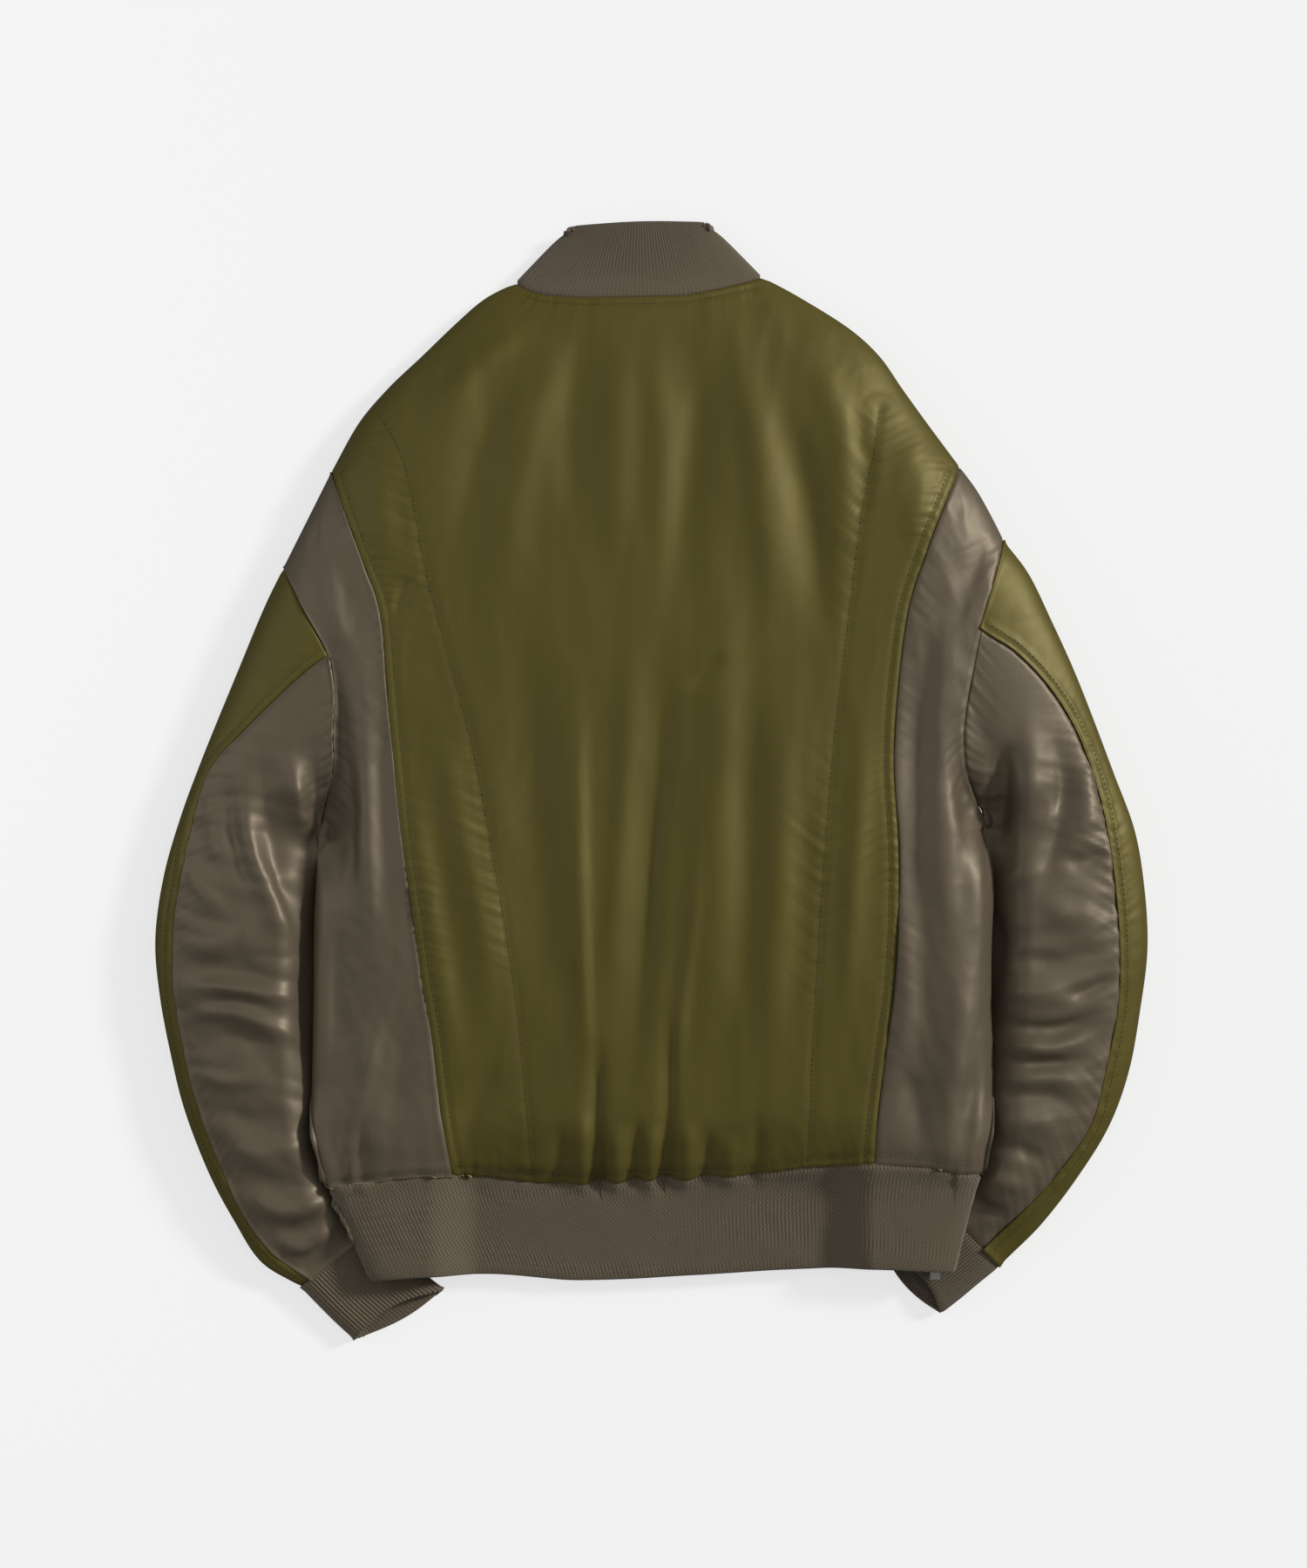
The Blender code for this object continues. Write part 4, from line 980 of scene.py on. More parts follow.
@dataclass
class Body:
    """The back, fronts and side panels."""

    finishes: Finishes
    spacing: float = 2.2
    across: int = 122
    wrap: tuple = (3.0, 9.0, 13.0, 14.0)
    wrap_columns: int = 6

    def wrapped(self, number: Array, side: int, extra: float, share: Array | float) -> tuple[Array, Array]:
        """A point of the shoulder seam, on the lower layer just in from the edge."""
        row = LINES.shoulder_row
        reach = Smooth(range(row, row + 4), self.wrap)(number) + extra
        reach = np.where(number > row, reach, 0) * share
        climb = np.clip((number - row) / (len(LINES.back_left) - 1 - row), 0, 1)
        x, y = LINES.rails[side](number)
        return x - side * mix(0.8, 0.03, climb) * reach, y - mix(0.6, 1.0, climb) * reach

    def back(self) -> bpy.types.Object:
        """The olive back panel, which turns under the shoulder edges."""
        last = len(LINES.back_left) - 1
        row = LINES.shoulder_row
        numbers = even_numbers([LINES.rails[LEFT], LINES.rails[RIGHT]], [0, row, last], self.spacing)
        n = numbers[:, None]
        t = crowded_ends(self.across, 0.5, 0.5)[None, :]
        (lx, ly), (rx, ry) = LINES.rails[LEFT](n), LINES.rails[RIGHT](n)
        half = np.where(n <= row, SEAM_GAP / 2, 0.0)
        x = mix(lx, rx, t) + half * (1 - 2 * t)
        y = mix(ly, ry, t)
        y = mix(y, LINES.hem(x) + SEAM_GAP, ease(1 - n))
        (ax, ay), (bx, by) = LINES.back_left[-1], LINES.back_right[-1]
        y = y + (LINES.neck(mix(ax, bx, t)) - mix(ay, by, t)) * np.clip(1 - (last - n) / 5, 0, 1)
        z = LINES.top(x, y)
        width = rx - lx
        shoulder = n > row
        z = np.where(shoulder & ((t == 0) | (t == 1)), LINES.fold(x, y), z)
        rise = FOLDS.rise(Layer.BACK, "back", x, y) + pucker_rise("back", 0, x, y)
        rise += 0.5 * crumple(x, y, 34, 120, 4, 3.1) + 0.3 * crumple(x, y, 15, 52, -8, 9.4)
        near = np.minimum(t, 1 - t) * width
        rise *= np.where(shoulder, ease(near / 22), 1.0)
        seam = np.where(shoulder, 0, roll(near)) + roll(y - LINES.hem(x))
        seam += np.where(n > last - 2, roll(LINES.neck(x) - y), 0)
        points = raised(np.dstack([x, y, z]), rise + seam)
        sides = []
        for side in (LEFT, RIGHT):
            share = np.linspace(0, 1, self.wrap_columns + 1)[None, 1:]
            wx, wy = self.wrapped(n, side, 0.0, share)
            wz = LINES.under(wx, wy)
            edge = points[:, :1] if side < 0 else points[:, -1:]
            low = (n <= row)[..., None]
            sides.append(np.where(low, edge, np.dstack([wx, wy, wz])))
        grid = np.concatenate([sides[0][:, ::-1], points, sides[1]], axis=1)
        return Sheet("back_cloth", grid, self.finishes.olive, "back_panel", "olive_nylon",
                     (0.47, 0.66), 0.235).make()

    def front(self, side: int) -> bpy.types.Object:
        """One olive front, which lies on the floor."""
        last, row = len(LINES.back_left) - 1, LINES.shoulder_row
        rail = LINES.rails[side]
        n = even_numbers([rail], [0, row, last], 3.2)[:, None]
        t = crowded_ends(56, 0.5, 0.3)[None, :]
        seam_x, seam_y = rail(n)
        wrap_x, wrap_y = self.wrapped(n, side, 1.2, 1.0)
        ox = np.where(n > row, wrap_x, seam_x)
        oy = np.where(n > row, wrap_y, seam_y)
        share = n / last
        centre, foot = side * 9.5, 262.0
        cy = mix(LINES.hem(centre), foot, share ** 0.85)
        x, y = mix(ox, centre, t), mix(oy, cy, t)
        end_x, end_y = (float(v) for v in self.wrapped(np.array(float(last)), side, 1.2, 1.0))
        turn = t * math.pi / 2
        towards = np.clip((n - row) / (last - row), 0, 1) ** 2
        x = x + (mix(end_x, centre, 1 - np.cos(turn)) - mix(end_x, centre, t)) * towards
        y = y + (mix(end_y, foot, np.sin(turn)) - mix(end_y, foot, t)) * towards
        x = x - np.where(n <= row, side * SEAM_GAP / 2 * (1 - t), 0)
        y = mix(y, LINES.hem(x) + SEAM_GAP, ease(1 - n))
        z = LINES.under(x, y) + np.maximum(0, FOLDS.rise(Layer.FRONT, "front", x, y))
        z += 0.5 * (1 + crumple(x, y, 30, 90, 6 * side, 5.5)) * ease((np.abs(x) - 20) / 20)
        points = np.dstack([x, y, z])
        if side < 0:
            points = points[:, ::-1]
        name = "left" if side < 0 else "right"
        return Sheet(f"front_{name}_cloth", points, self.finishes.olive, f"front_{name}",
                     "olive_nylon", (0.22, 0.63), 0.101).make()

    def panel(self, side: int) -> bpy.types.Object:
        """One taupe side panel, from the back seam round the side to the front seam."""
        seam_height, edge = LINES.edges[side]
        pit, hole_top = LINES.armpit_row, LINES.armhole_rows[side]
        last = len(LINES.side_left if side < 0 else LINES.side_right) - 1
        n = even_numbers([edge], [0, pit, hole_top, last], 2.3)[:, None]
        sy = seam_height(n)
        sx = LINES.seam_x[side](sy) + side * SEAM_GAP / 2
        ex, ey = edge(n)
        run = np.maximum(np.hypot(ex - sx, ey - sy), 0.4)
        s = 1 - (1 - np.linspace(0, 1, 44)) ** 1.7
        s = s[None, :]
        x, y = mix(sx, ex, s), mix(sy, ey, s)
        x, y = x + 0 * y, mix(y, LINES.hem(x) + SEAM_GAP, ease(1 - n))
        z = LINES.top(x, y)
        away = (1 - s) * run
        open_row = (n >= pit) & (n <= hole_top)
        z = np.where((s == 1) & ~open_row, LINES.fold(x, y), z)
        dip = LINES.hollow(side, y, 32) * bell(away, 15)
        z = mix(z, LINES.armpit_height, dip)
        rise = FOLDS.rise(Layer.BACK, "sides", x, y) + pucker_rise("side", side, x, y)
        rise += 0.55 * crumple(x, y, 17, 60, 8 * side, 7.7) + 0.35 * crumple(x, y, 13, 22, -30 * side, 5.2)
        rise *= np.where(open_row, 1.0, ease(away / 14))
        rise = rise + roll(s * run) + roll(y - LINES.hem(x)) + np.where(open_row, roll(away), 0)
        top = raised(np.dstack([x, y, z]), rise)
        d = (np.linspace(0, 1, 26) ** 1.5)[None, :]
        ux, uy = mix(ex, sx, d), mix(ey, sy, d)
        uy = mix(uy, LINES.hem(ux) + SEAM_GAP, ease(1 - n))
        uz = np.maximum(LINES.under(ux, uy), 0)
        low_dip = LINES.hollow(side, uy, 26) * bell(d * run, 15)
        uz = np.where(open_row & (d * run < 40), LINES.armpit_height * low_dip,
                      mix(uz, LINES.armpit_height, np.where(n < pit, low_dip, 0)))
        uz = uz + np.maximum(0, FOLDS.rise(Layer.FRONT, "front", ux, uy))
        under = np.dstack([ux, uy, uz])
        closed_rows = ~open_row[:, 0]
        under[closed_rows, 0] = top[closed_rows, -1]
        grid = np.concatenate([top, under], axis=1)
        torn = 43
        if side < 0:
            grid = grid[:, ::-1]
            torn = grid.shape[1] - 2 - torn
        name = "left" if side < 0 else "right"
        return Sheet(f"side_{name}_cloth", grid, self.finishes.taupe, f"side_panel_{name}",
                     "taupe_nylon", (0.24, 0.52), 0.068, torn=torn).make()


@dataclass
class Sleeves:
    """Two sleeves of an olive outer piece and a taupe back piece, and their rib cuffs."""

    finishes: Finishes
    outer_fold: float = 12.0
    inner_fold: float = 6.0
    cuff_height: float = 15.0
    under_seam: float = 0.5
    outer_spread: float = 78.0
    inner_spread: float = 36.0
    tuck: float = 4.0
    cuff_tuck: float = 2.0
    cuffs: dict = field(default_factory=lambda: {
        LEFT: [(-247.5, -362, -194.5, -319), (-237, -373, -179, -334), (-224, -386, -164, -349),
               (-211, -398, -148, -362)],
        RIGHT: [(246.5, -347, 207, -307), (233, -358, 194, -318), (220, -369, 181, -328),
                (206, -380, 166, -338)]})

    def cuff_top(self, inward: Array) -> Array:
        """Height of the upper layer at the cuff."""
        fold = self.cuff_height * 0.45
        return fold + (self.cuff_height - fold) * dome(inward / 14)

    def inner(self, side: int, n: Array) -> Array:
        """Height of the inner edge, which is held up at the armpit."""
        return mix(LINES.armpit_height, self.inner_fold, ease((n - LINES.sleeve_armpit[side]) / 1.6))

    def point(self, side: int, n: Array, u: Array) -> tuple[Array, Array, Array, Array]:
        """Points of the upper layer, from the outer edge at u = 0 to the inner one at 1."""
        outer, _, inner = LINES.sleeves[side]
        armpit = LINES.sleeve_armpit[side]
        (ox, oy), (ix, iy) = outer(n), inner(n)
        run = np.hypot(ix - ox, iy - oy)
        x, y = mix(ox, ix, u), mix(oy, iy, u)
        tucked = bell(n - armpit - 0.2, 0.45) * u ** 12
        x = x - side * self.tuck * tucked
        crown = LINES.crowns[side](n)
        rise = self.outer_fold + (crown - self.outer_fold) * dome(u * run / self.outer_spread)
        t = np.clip((1 - u) * run / self.inner_spread, 0, 1)
        share = self.inner(side, n) / crown
        own = rise * (share + (1 - share) * np.sin(t * math.pi / 2) ** 1.25)
        shared = LINES.top(x, y)
        dip = LINES.hollow(side, y, 32) * bell((1 - u) * run, 15)
        shared = mix(shared, LINES.armpit_height, dip)
        hold = np.maximum(1 - ease((n - 2) / (armpit - 2)), ease((u - 0.45) / 0.55))
        hold = hold * (1 - ease(n - armpit))
        z = mix(own, shared, hold)
        last = LINES.sleeve_rows - 1
        z = mix(z, self.cuff_top(np.minimum(u, 1 - u) * run), ease(n - (last - 1)))
        return x, y, z - 1.5 * tucked, run

    def lower(self, side: int, n: Array, u: Array, edge: Array) -> Array:
        """Points of the lower layer, which lies on the floor between its rounded edges."""
        x, y, _, run = self.point(side, n, u)
        armpit = LINES.sleeve_armpit[side]
        outer = edge * (1 - dome(u * run / 18))
        held = LINES.armpit_height * LINES.hollow(side, y, 26) * bell((1 - u) * run, 8)
        free = self.inner(side, n) * (1 - dome((1 - u) * run / 12))
        z = np.maximum(outer, np.where(n <= armpit, held, free))
        z = z + np.maximum(0, FOLDS.rise(Layer.FRONT, "front", x, y))
        return np.dstack([x, y, z])

    def rise(self, part: str, side: int, x: Array, y: Array) -> Array:
        """The folds, puckers and crumples of a piece."""
        total = pucker_rise(part, side, x, y)
        if part == "sleeve":
            low = ease((60 - y) / 90)
            total += FOLDS.rise(Layer.BACK, "sleeves", x, y) * 1.0
            total += low * (1.0 * crumple(x, y, 17, 46, 78 * -side, 12.3 + side)
                            + 0.8 * crumple(x, y, 26, 60, 35 * -side, 4.4 + side))
        else:
            total += FOLDS.rise(Layer.BACK, "sleeves", x, y) * 0.35
            total += 0.35 * crumple(x, y, 12, 30, 70 * -side, 2.2 + side)
        return total

    def outer(self, side: int) -> bpy.types.Object:
        """The olive piece, from the colour seam round the outer edge to the lower seam."""
        rails = LINES.sleeves[side]
        last = LINES.sleeve_rows - 1
        n = even_numbers([rails[0], rails[2]], [0, LINES.sleeve_armpit[side], last], 2.4)[:, None]
        (ox, oy), (sx, sy), (ix, iy) = (rail(n) for rail in rails)
        run = np.hypot(ix - ox, iy - oy)
        seam = np.minimum(np.hypot(sx - ox, sy - oy) / run, 0.985) - SEAM_GAP / 2 / run
        s = crowded_ends(26, 0.4, 0.9)[None, :]
        u = seam * (1 - s)
        x, y, z, _ = self.point(side, n, u)
        away = (seam - u) * run
        rise = self.rise("outer", side, x, y) * ease(u * run / 12) + roll(away)
        rise += roll(n + 0 * u, 1.2, 0.08) + roll(last - n + 0 * u, 1.2, 0.08)
        top = raised(np.dstack([x, y, z]), rise)
        w = (np.linspace(0, 1, 24) ** 1.4)[None, :] * (self.under_seam - SEAM_GAP / 2 / run)
        under = self.lower(side, n, w, z[:, -1:])
        under[:, 0] = top[:, -1]
        grid = np.concatenate([top, under], axis=1)
        if side < 0:
            grid = grid[:, ::-1]
        name = "left" if side < 0 else "right"
        return Sheet(f"sleeve_outer_{name}_cloth", grid[::-1], self.finishes.olive,
                     f"sleeve_outer_{name}", "olive_nylon", (0.13, 0.60), 0.045).make()

    def back(self, side: int) -> bpy.types.Object:
        """The taupe piece, from the colour seam over the sleeve and round its inner edge."""
        rails = LINES.sleeves[side]
        last, armpit = LINES.sleeve_rows - 1, LINES.sleeve_armpit[side]
        n = even_numbers([rails[0], rails[2]], [0.04, armpit, last], 2.4)[:, None]
        (ox, oy), (sx, sy), (ix, iy) = (rail(n) for rail in rails)
        run = np.hypot(ix - ox, iy - oy)
        seam = np.minimum(np.hypot(sx - ox, sy - oy) / run, 0.985) + SEAM_GAP / 2 / run
        s = crowded_ends(56, 0.35, 0.5)[None, :]
        u = mix(seam, 1 - 0.2 / run, s)
        x, y, z, _ = self.point(side, n, u)
        rise = self.rise("sleeve", side, x, y)
        open_row = n <= armpit
        near = (1 - u) * run
        rise *= np.where(open_row, 1.0, ease(near / 16)) * ease(0.15 + (last - n) / 0.4)
        rise = rise + roll((u - seam) * run) + np.where(open_row, roll(near), 0)
        rise += roll(last - n + 0 * u, 1.2, 0.08)
        top = raised(np.dstack([x, y, z]), rise)
        w = 1 - (np.linspace(0, 1, 26) ** 1.4)[None, :] * (1 - self.under_seam - SEAM_GAP / 2 / run)
        under = self.lower(side, n, w, z[:, :1] * 0)
        shut = ~open_row[:, 0]
        under[shut, 0] = top[shut, -1]
        grid = np.concatenate([top, under], axis=1)
        torn = 55
        if side < 0:
            grid = grid[:, ::-1]
            torn = grid.shape[1] - 2 - torn
        name = "left" if side < 0 else "right"
        return Sheet(f"sleeve_back_{name}_cloth", grid, self.finishes.taupe, f"sleeve_back_{name}",
                     "taupe_nylon", (0.20, 0.50), 0.066, torn=torn).make()

    def cuff(self, side: int, pitch: float = 2.65) -> bpy.types.Object:
        """A rib cuff, with its mouth a little open."""
        stations = self.cuffs[side]
        outer, inner = Rail([row[:2] for row in stations]), Rail([row[2:] for row in stations])
        ribs = 27
        half = ribs * 6
        share = np.linspace(0, 1, half + 1)[None, :]
        v = crowded_ends(20, 0.3, 0.6)[:, None]
        layers, counts = [], []
        for lower in (False, True):
            s = share[:, ::-1] if lower else share
            bow = np.sin(math.pi * s)
            along = v * (1 + (0.09 if lower else -0.15) * bow) * 3
            (ox, oy), (ix, iy) = outer(along), inner(along)
            over = np.maximum(along - 3, 0)
            x = mix(ox, ix, s) + over * (outer(3.0)[0] - outer(2.0)[0])
            y = mix(oy, iy, s) + over * (outer(3.0)[1] - outer(2.0)[1])
            run = np.hypot(ix - ox, iy - oy)
            inward = np.minimum(s, 1 - s) * run
            fold = self.cuff_height * 0.45
            z = fold * (1 - dome(inward / 14)) if lower else self.cuff_top(inward)
            z = z * mix(1.0, 0.82, v) if not lower else z + 0 * v
            hidden = bell(v * 50, 2.5)
            x = x - hidden * self.cuff_tuck * (outer(1.0)[0] - outer(0.0)[0]) / 13
            y = y - hidden * self.cuff_tuck * (outer(1.0)[1] - outer(0.0)[1]) / 13
            layers.append(np.dstack([x, y, z])[:, :-1])
            counts.append((share[:, :-1] + (1 if lower else 0)) * ribs + 0 * v)
        grid = np.concatenate([*layers, layers[0][:, :1]], axis=1)
        count = np.concatenate([*counts, counts[0][:, :1] + 2 * ribs], axis=1)
        rise = rib_rise(count) + roll((1 - v) * 50, 0.9, 1.6) + roll(v * 50, 0.8, 1.6)
        points = raised(grid, rise)
        points[:, -1] = points[:, 0]
        if side < 0:
            points, count = points[:, ::-1], count[:, ::-1]
        uv = np.dstack([count, v * 50 + 0 * count])
        name = "left" if side < 0 else "right"
        return Sheet(f"cuff_{name}_knit", points, self.finishes.knit, f"cuff_{name}", "rib_knit",
                     (0.17, 0.062), None, RIB_WALL, uv=uv).make()


def rib_rise(count: Array, height: float = 0.6) -> Array:
    """The ribs' round crests and narrow grooves, by the number of ribs passed."""
    return height * (np.abs(np.sin(math.pi * count)) ** 0.7 - 0.75)


@dataclass
class Ribs:
    """The rib hem band and the rib collar."""

    finishes: Finishes
    pitch: float = 2.65
    steps: int = 5
    tuck: float = 1.8

    def hem(self) -> bpy.types.Object:
        """One band from the centre front round the back to the centre front again."""
        v = crowded_ends(15, 0.3, 0.6)[:, None]
        left, right = mix(-228, -199, v ** 1.1), mix(233, 215, v ** 0.9)
        count = round(870 / self.pitch) * self.steps
        walked = np.linspace(0, 1, count + 1)[None, :]
        first = -left - 9.5
        whole = first + (right - left) + right - 9.5
        run = walked * whole
        x = np.where(run < first, -9.5 - run, np.where(run < first + right - left, left + run - first,
                                                       right - (run - first - right + left)))
        lower = (run < first) | (run > first + right - left)
        tucked = bell(v * 66, 0.9)
        y = mix(LINES.hem(x) - SEAM_GAP, LINES.foot(x), v) + self.tuck * tucked
        z = np.where(lower, LINES.under(x, y), LINES.top(x, y))
        edge = np.minimum(np.abs(run - first), np.abs(run - first - right + left))
        z = mix(z, LINES.fold(x, y), bell(edge, 0.8))
        upper = np.where(lower, 0, ease(edge / 10))
        drawn = FOLDS.rise(Layer.BACK, "back", x, y) + FOLDS.rise(Layer.BACK, "sides", x, y)
        rise = upper * (drawn * bell(v * 66, 14)
                        + 0.8 * crumple(x, y, 60, 60, 0, 17.0))
        number = run / self.pitch
        rise = rise + rib_rise(number) + roll((1 - v) * 66, 1.0, 1.8) - 1.6 * tucked
        points = raised(np.dstack([x, y, z])[:, ::-1], np.broadcast_to(rise, x.shape)[:, ::-1])
        uv = np.dstack([number, v * 66 + 0 * number])
        grid = points
        return Sheet("hem_knit", grid, self.finishes.knit, "hem_rib", "rib_knit",
                     (1.00, 0.074), None, RIB_WALL, uv=uv[:, ::-1]).make()

    def collar(self) -> bpy.types.Object:
        """One band from the centre front up round the back of the neck and down again."""
        v = crowded_ends(14, 0.3, 0.6)[:, None]
        edge = {LEFT: (mix(-96.7, -59, v), mix(353.3, 392, v)),
                RIGHT: (mix(78.7, 41, v), mix(357.3, 395, v))}
        turned = {}
        share = np.linspace(0, 1, round(150 / self.pitch) * self.steps + 1)[None, 1:]
        for side in (LEFT, RIGHT):
            ex, ey = edge[side]
            drop = 14.0
            straight = 0.08
            t = np.clip((share - straight) / (1 - straight), 0, 1)
            low = mix(263, 316, v)
            x = mix(ex, side * 1.5, 1 - np.cos(t * math.pi / 2))
            y = np.where(share < straight, ey - drop * share / straight,
                         mix(ey - drop, low, np.sin(t * math.pi / 2)))
            turned[side] = (x, y + 0 * x)
        back = np.linspace(0, 1, round(160 / self.pitch) * self.steps + 1)[None, :]
        bx = mix(edge[LEFT][0], edge[RIGHT][0], back)
        base = LINES.neck(mix(-97, 79, back)) + SEAM_GAP
        by = mix(base, mix(393, 396, back) + 1.5 * np.sin(math.pi * back), v)
        x = np.concatenate([turned[LEFT][0][:, ::-1], bx, turned[RIGHT][0]], axis=1)
        y = np.concatenate([turned[LEFT][1][:, ::-1], by, turned[RIGHT][1]], axis=1)
        first = turned[LEFT][0].shape[1]
        second = first + bx.shape[1]
        index = np.arange(x.shape[1])[None, :] + 0 * v
        upper = (index > first) & (index < second - 1)
        corner = np.minimum(np.abs(index - first), np.abs(index - second + 1)) * self.pitch / self.steps
        tucked = bell(v * 50, 0.9)
        y = y - 4.5 * bell(corner, 5.0) * v ** 8 - self.tuck * tucked
        z = np.where(upper, LINES.top(x, y), LINES.under(x, y))
        z[:, [first, second - 1]] = LINES.fold(x[:, [first, second - 1]], y[:, [first, second - 1]])
        number = index / self.steps
        rise = rib_rise(number) + roll((1 - v) * 50, 0.6, 1.8)
        rise = rise * ease(corner / 3) - 1.4 * tucked
        points = raised(np.dstack([x, y, z]), rise + 0 * x)
        uv = np.dstack([number, v * 50 + 0 * number])
        return Sheet("collar_knit", points, self.finishes.knit, "collar_rib", "rib_knit",
                     (0.50, 0.060), None, RIB_WALL, uv=uv).make()


# ---- stitches and zips ----

def thread_row(name: str, lines: list[Line], cloth: list[bpy.types.Object],
               material: bpy.types.Material, length: float = 2.6,
               pitch: float = 3.6) -> bpy.types.Object:
    """Rows of small stitches lying on the cloth, as one piece.

    Args:
        name: the piece's name.
        lines: the stitched lines.
        cloth: the pieces they are sewn into.
        material: the thread's finish.
        length: the length of one stitch.
        pitch: from one stitch to the next.

    Returns:
        The piece.
    """
    bpy.ops.object.select_all(action="DESELECT")
    bpy.ops.mesh.primitive_uv_sphere_add(segments=5, ring_count=4, radius=1)
    piece = bpy.context.object
    piece.name = piece.data.name = name
    shape = [Vector(vertex.co) for vertex in piece.data.vertices]
    faces = [list(face.vertices) for face in piece.data.polygons]
    trees = []
    for target in cloth:
        mesh = bmesh.new()
        mesh.from_mesh(target.data)
        trees.append(bvhtree.BVHTree.FromBMesh(mesh))
        mesh.free()
    points, joined = [], []
    for line in lines:
        for number in range(1, int(line.walked[-1] / pitch)):
            ends = []
            for walk in (number * pitch - length / 2, number * pitch + length / 2):
                x = np.interp(walk, line.walked, line.points[:, 0])
                y = np.interp(walk, line.walked, line.points[:, 1])
                hits = [tree.ray_cast(Vector((x * MM, y * MM, 0.2)), Vector((0, 0, -1))) for tree in trees]
                found = [hit for hit in hits if hit[0] is not None]
                if found:
                    ends.append(max(found, key=lambda hit: hit[0].z))
            if len(ends) < 2:
                continue
            (start, up, *_), (end, *_) = ends
            along = end - start
            if along.length > 2 * length * MM or start.z < 9 * MM:
                continue
            side = along.cross(up).normalized()
            out = side.cross(along).normalized()
            first = len(points)
            middle = (start + end) / 2 + out * 0.12 * MM
            for corner in shape:
                points.append(middle + along * 0.5 * corner.z + side * 0.32 * MM * corner.x
                              + out * 0.3 * MM * corner.y)
            joined += [[first + index for index in face] for face in faces]
    piece.data.clear_geometry()
    piece.data.from_pydata(points, [], joined)
    piece.data.shade_smooth()
    piece.data.materials.append(material)
    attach(piece, "root")
    log.info("%s: %d faces", name, len(joined))
    return piece


@dataclass
class Zips:
    """The front zip's teeth and tapes, and new finishes for its hard pieces."""

    finishes: Finishes
    tooth_pitch: float = 2.2
    tooth_width: float = 1.15

    def teeth(self) -> bpy.types.Object:
        """The chain: two meshed rows of bevelled metal teeth, on the tapes' cords."""
        low, high = (np.array(corner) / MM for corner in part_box("zip_chain"))
        middle = (low[2] + high[2]) / 2
        bpy.ops.object.select_all(action="DESELECT")
        bpy.ops.mesh.primitive_cube_add(size=1)
        piece = bpy.context.object
        piece.name = piece.data.name = "zip_teeth"
        bpy.ops.object.mode_set(mode="EDIT")
        bpy.ops.mesh.select_all(action="SELECT")
        bpy.ops.mesh.bevel(offset=0.16, segments=1)
        bpy.ops.object.mode_set(mode="OBJECT")
        shape = [tuple(vertex.co) for vertex in piece.data.vertices]
        faces = [list(face.vertices) for face in piece.data.polygons]
        points, joined = [], []
        for number in range(int((high[1] - low[1] - 1) / self.tooth_pitch * 2)):
            side = LEFT if number % 2 else RIGHT
            y = low[1] + 0.8 + number * self.tooth_pitch / 2
            first = len(points)
            for x_share, y_share, z_share in shape:
                points.append(((side * 1.1 + x_share * 3.4) * MM, (y + y_share * self.tooth_width) * MM,
                               (middle + z_share * (high[2] - low[2] - 0.4)) * MM))
            joined += [[first + index for index in face] for face in faces]
        piece.data.clear_geometry()
        piece.data.from_pydata(points, [], joined)
        piece.data.materials.append(self.finishes.metal)
        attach(piece, "root")
        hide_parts("zip_chain")
        log.info("zip_teeth: %d faces", len(joined))
        return piece

    def tape(self, node: str) -> bpy.types.Object:
        """A zip tape, a little rippled, with a thicker cord beside the teeth."""
        low, high = (np.array(corner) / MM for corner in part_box(node))
        y = np.linspace(low[1], high[1], 160)[:, None]
        x = np.linspace(low[0], high[0], 12)[None, :]
        ripple = 0.12 * np.sin(y / 7.0) * np.sin(y / 23.0)
        inner = np.minimum(np.abs(x), 60)
        cord = 0.3 * bell(inner - np.minimum(abs(low[0]), abs(high[0])) - 0.6, 0.8)
        z = high[2] - 0.3 + ripple + cord + 0 * x
        points = np.dstack([x + 0 * y, y + 0 * x, z])
        return Sheet(f"{node}_cloth", points, self.finishes.tape, node, "zip_tape",
                     ((high[0] - low[0]) * MM, (high[1] - low[1]) * MM), None, 0.55).make()

    def finish(self) -> None:
        """Gives the hard pieces their metal and the short hem zip its tape."""
        for node in ("zip_slider", "zip_box", "zip_pull", "hem_zip_end"):
            for index in range(max(1, len(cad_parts[node].material_slots))):
                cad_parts[node].material_slots[index].material = self.finishes.metal
        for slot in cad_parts["hem_zip_tape"].material_slots:
            slot.material = self.finishes.tape


# ---- studio ----

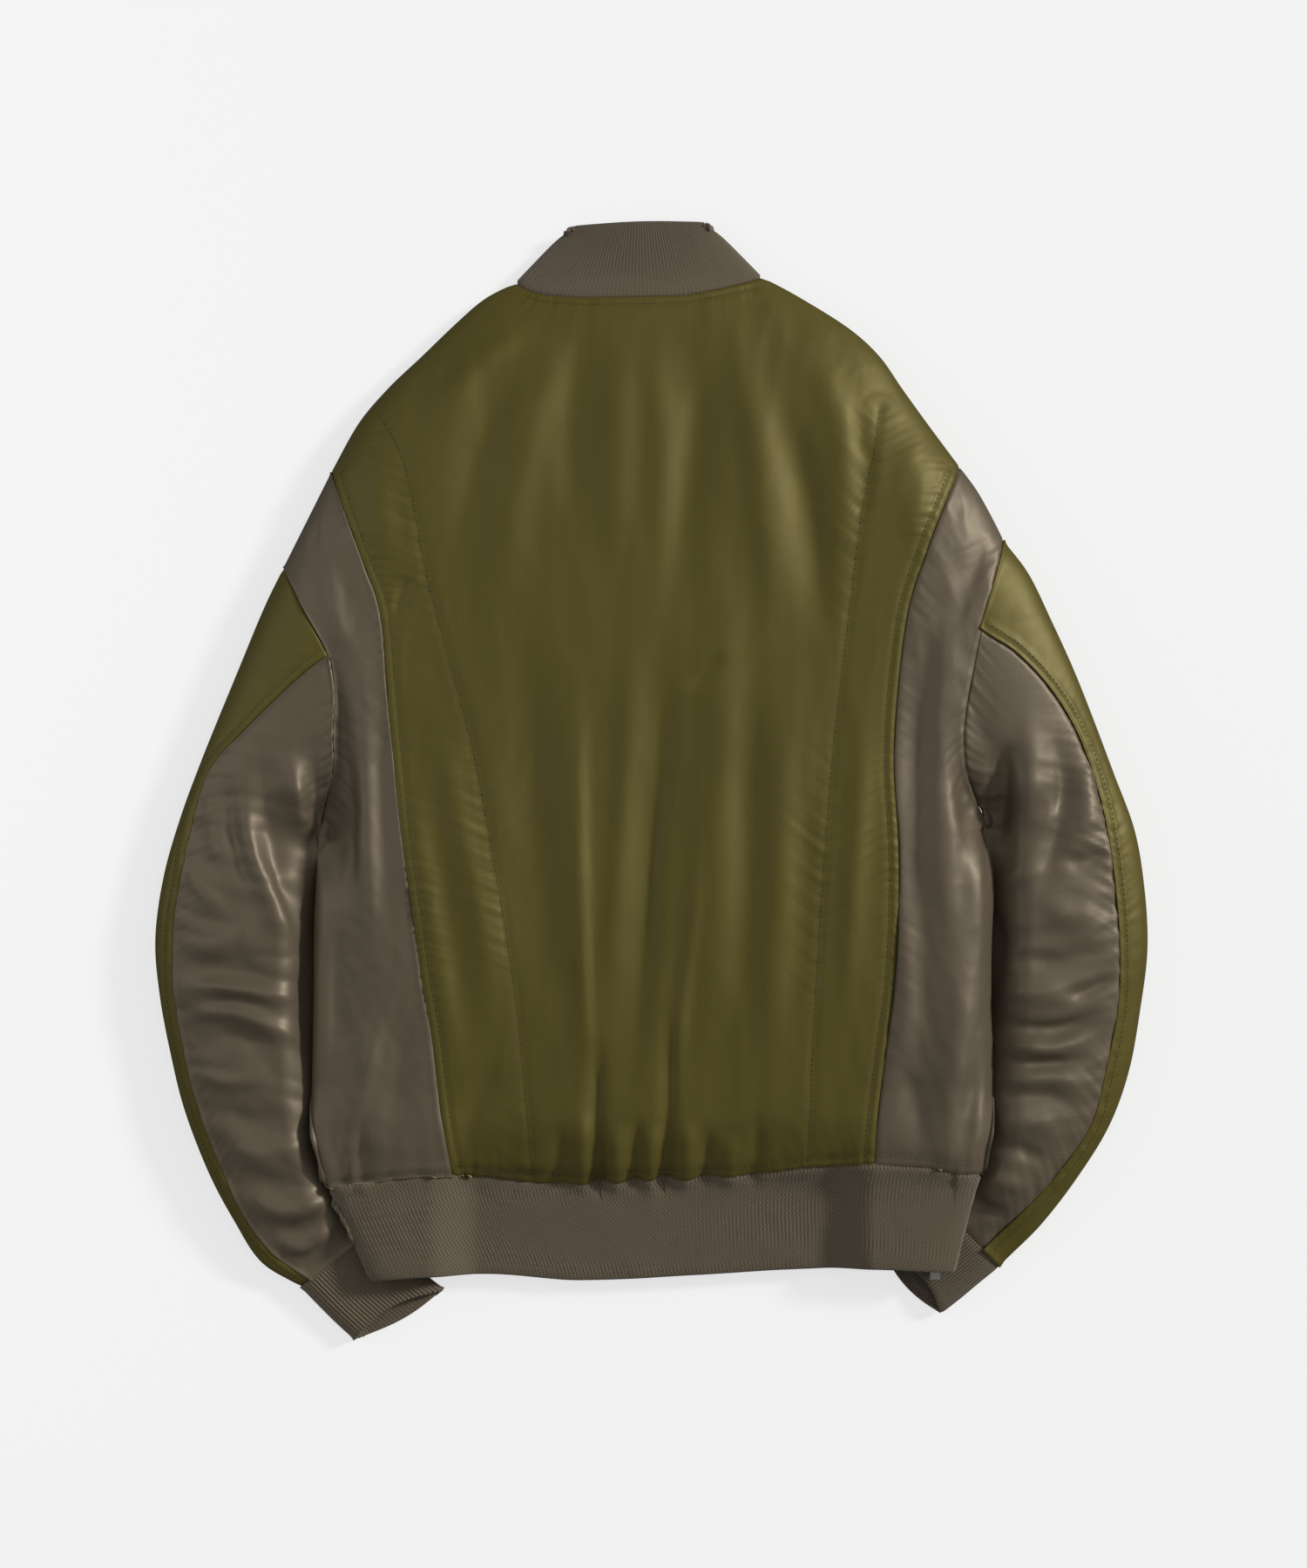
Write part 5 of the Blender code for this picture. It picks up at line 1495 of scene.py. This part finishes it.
@dataclass
class Studio:
    """A pale floor, a low soft key light from the upper right, and a camera straight above."""

    floor_size: float = 6.0
    camera_height: float = 2.64
    lens: float = 85.0
    sun_strength: float = 2.6
    sun_height: float = 25.0
    sun_turn: float = 26.0
    sky: float = 0.26

    def build(self) -> None:
        """Makes it all."""
        bpy.ops.object.select_all(action="DESELECT")
        bpy.ops.mesh.primitive_plane_add(size=self.floor_size, location=(0, 0, 0))
        floor = bpy.context.object
        floor.name = "floor"
        paint = Paint("floor_paper")
        paint.set(Base_Color=(0.25, 0.25, 0.25, 1), Roughness=1.0, Specular_IOR_Level=0.0,
                  Emission_Color=(0.70, 0.70, 0.70, 1))
        seen = paint.node("ShaderNodeLightPath", {}, {}, "Is Camera Ray")
        paint.set(Emission_Strength=seen)
        floor.data.materials.append(paint.material)
        sun = bpy.data.lights.new("key", "SUN")
        sun.energy = self.sun_strength
        sun.angle = math.radians(9)
        sun.color = (1.0, 0.985, 0.95)
        key = bpy.data.objects.new("key", sun)
        bpy.context.scene.collection.objects.link(key)
        turn, height = math.radians(self.sun_turn), math.radians(self.sun_height)
        away = Vector((math.cos(turn) * math.cos(height), math.sin(turn) * math.cos(height),
                       math.sin(height)))
        key.rotation_euler = away.to_track_quat("Z", "Y").to_euler()
        soft = bpy.data.lights.new("softbox", "AREA")
        soft.energy = 6.0
        soft.shape = "RECTANGLE"
        soft.size, soft.size_y = 1.6, 2.2
        box = bpy.data.objects.new("softbox", soft)
        bpy.context.scene.collection.objects.link(box)
        box.location = (0.9, 0.7, 1.5)
        box.rotation_euler = Vector(box.location).to_track_quat("Z", "Y").to_euler()
        soft = bpy.data.lights.new("fill", "AREA")
        soft.energy = 4.5
        soft.size = 1.2
        fill = bpy.data.objects.new("fill", soft)
        bpy.context.scene.collection.objects.link(fill)
        fill.location = (-1.3, 0.3, 0.8)
        fill.rotation_euler = Vector(fill.location).to_track_quat("Z", "Y").to_euler()
        world = bpy.data.worlds.new("studio")
        world.use_nodes = True
        backdrop = world.node_tree.nodes["Background"]
        backdrop.inputs["Color"].default_value = (1, 1, 1, 1)
        backdrop.inputs["Strength"].default_value = self.sky
        bpy.context.scene.world = world
        bpy.context.scene.view_settings.view_transform = "Standard"
        camera = bpy.data.cameras.new("camera")
        camera.lens = self.lens
        camera.sensor_width = 36
        eye = bpy.data.objects.new("camera", camera)
        eye.location = (0.0015, -0.0028, self.camera_height)
        bpy.context.scene.collection.objects.link(eye)
        bpy.context.scene.camera = eye


def main() -> None:
    """Builds the jacket and the studio in order."""
    logging.basicConfig(level=logging.INFO, format="%(message)s")
    finishes = Finishes()
    body, sleeves, ribs, zips = Body(finishes), Sleeves(finishes), Ribs(finishes), Zips(finishes)
    back = body.back()
    panels, outers = {}, {}
    for side in (LEFT, RIGHT):
        body.front(side)
        panels[side] = body.panel(side)
        outers[side] = sleeves.outer(side)
        sleeves.back(side)
        sleeves.cuff(side)
    ribs.hem()
    ribs.collar()
    zips.teeth()
    for node in ("zip_tape_left", "zip_tape_right"):
        zips.tape(node)
    zips.finish()
    olive_lines = [STITCHING.hem, STITCHING.neck, *STITCHING.back_seams.values(), *INNER_LINES.values()]
    thread_row("back_stitches", olive_lines, [back], finishes.olive_thread)
    for side, name in ((LEFT, "left"), (RIGHT, "right")):
        thread_row(f"sleeve_{name}_stitches", [STITCHING.strips[side]], [outers[side]],
                   finishes.olive_thread)
        thread_row(f"side_{name}_stitches", [STITCHING.side_hems[side]], [panels[side]],
                   finishes.taupe_thread)
    Studio().build()


if __name__ == "__main__":
    main()
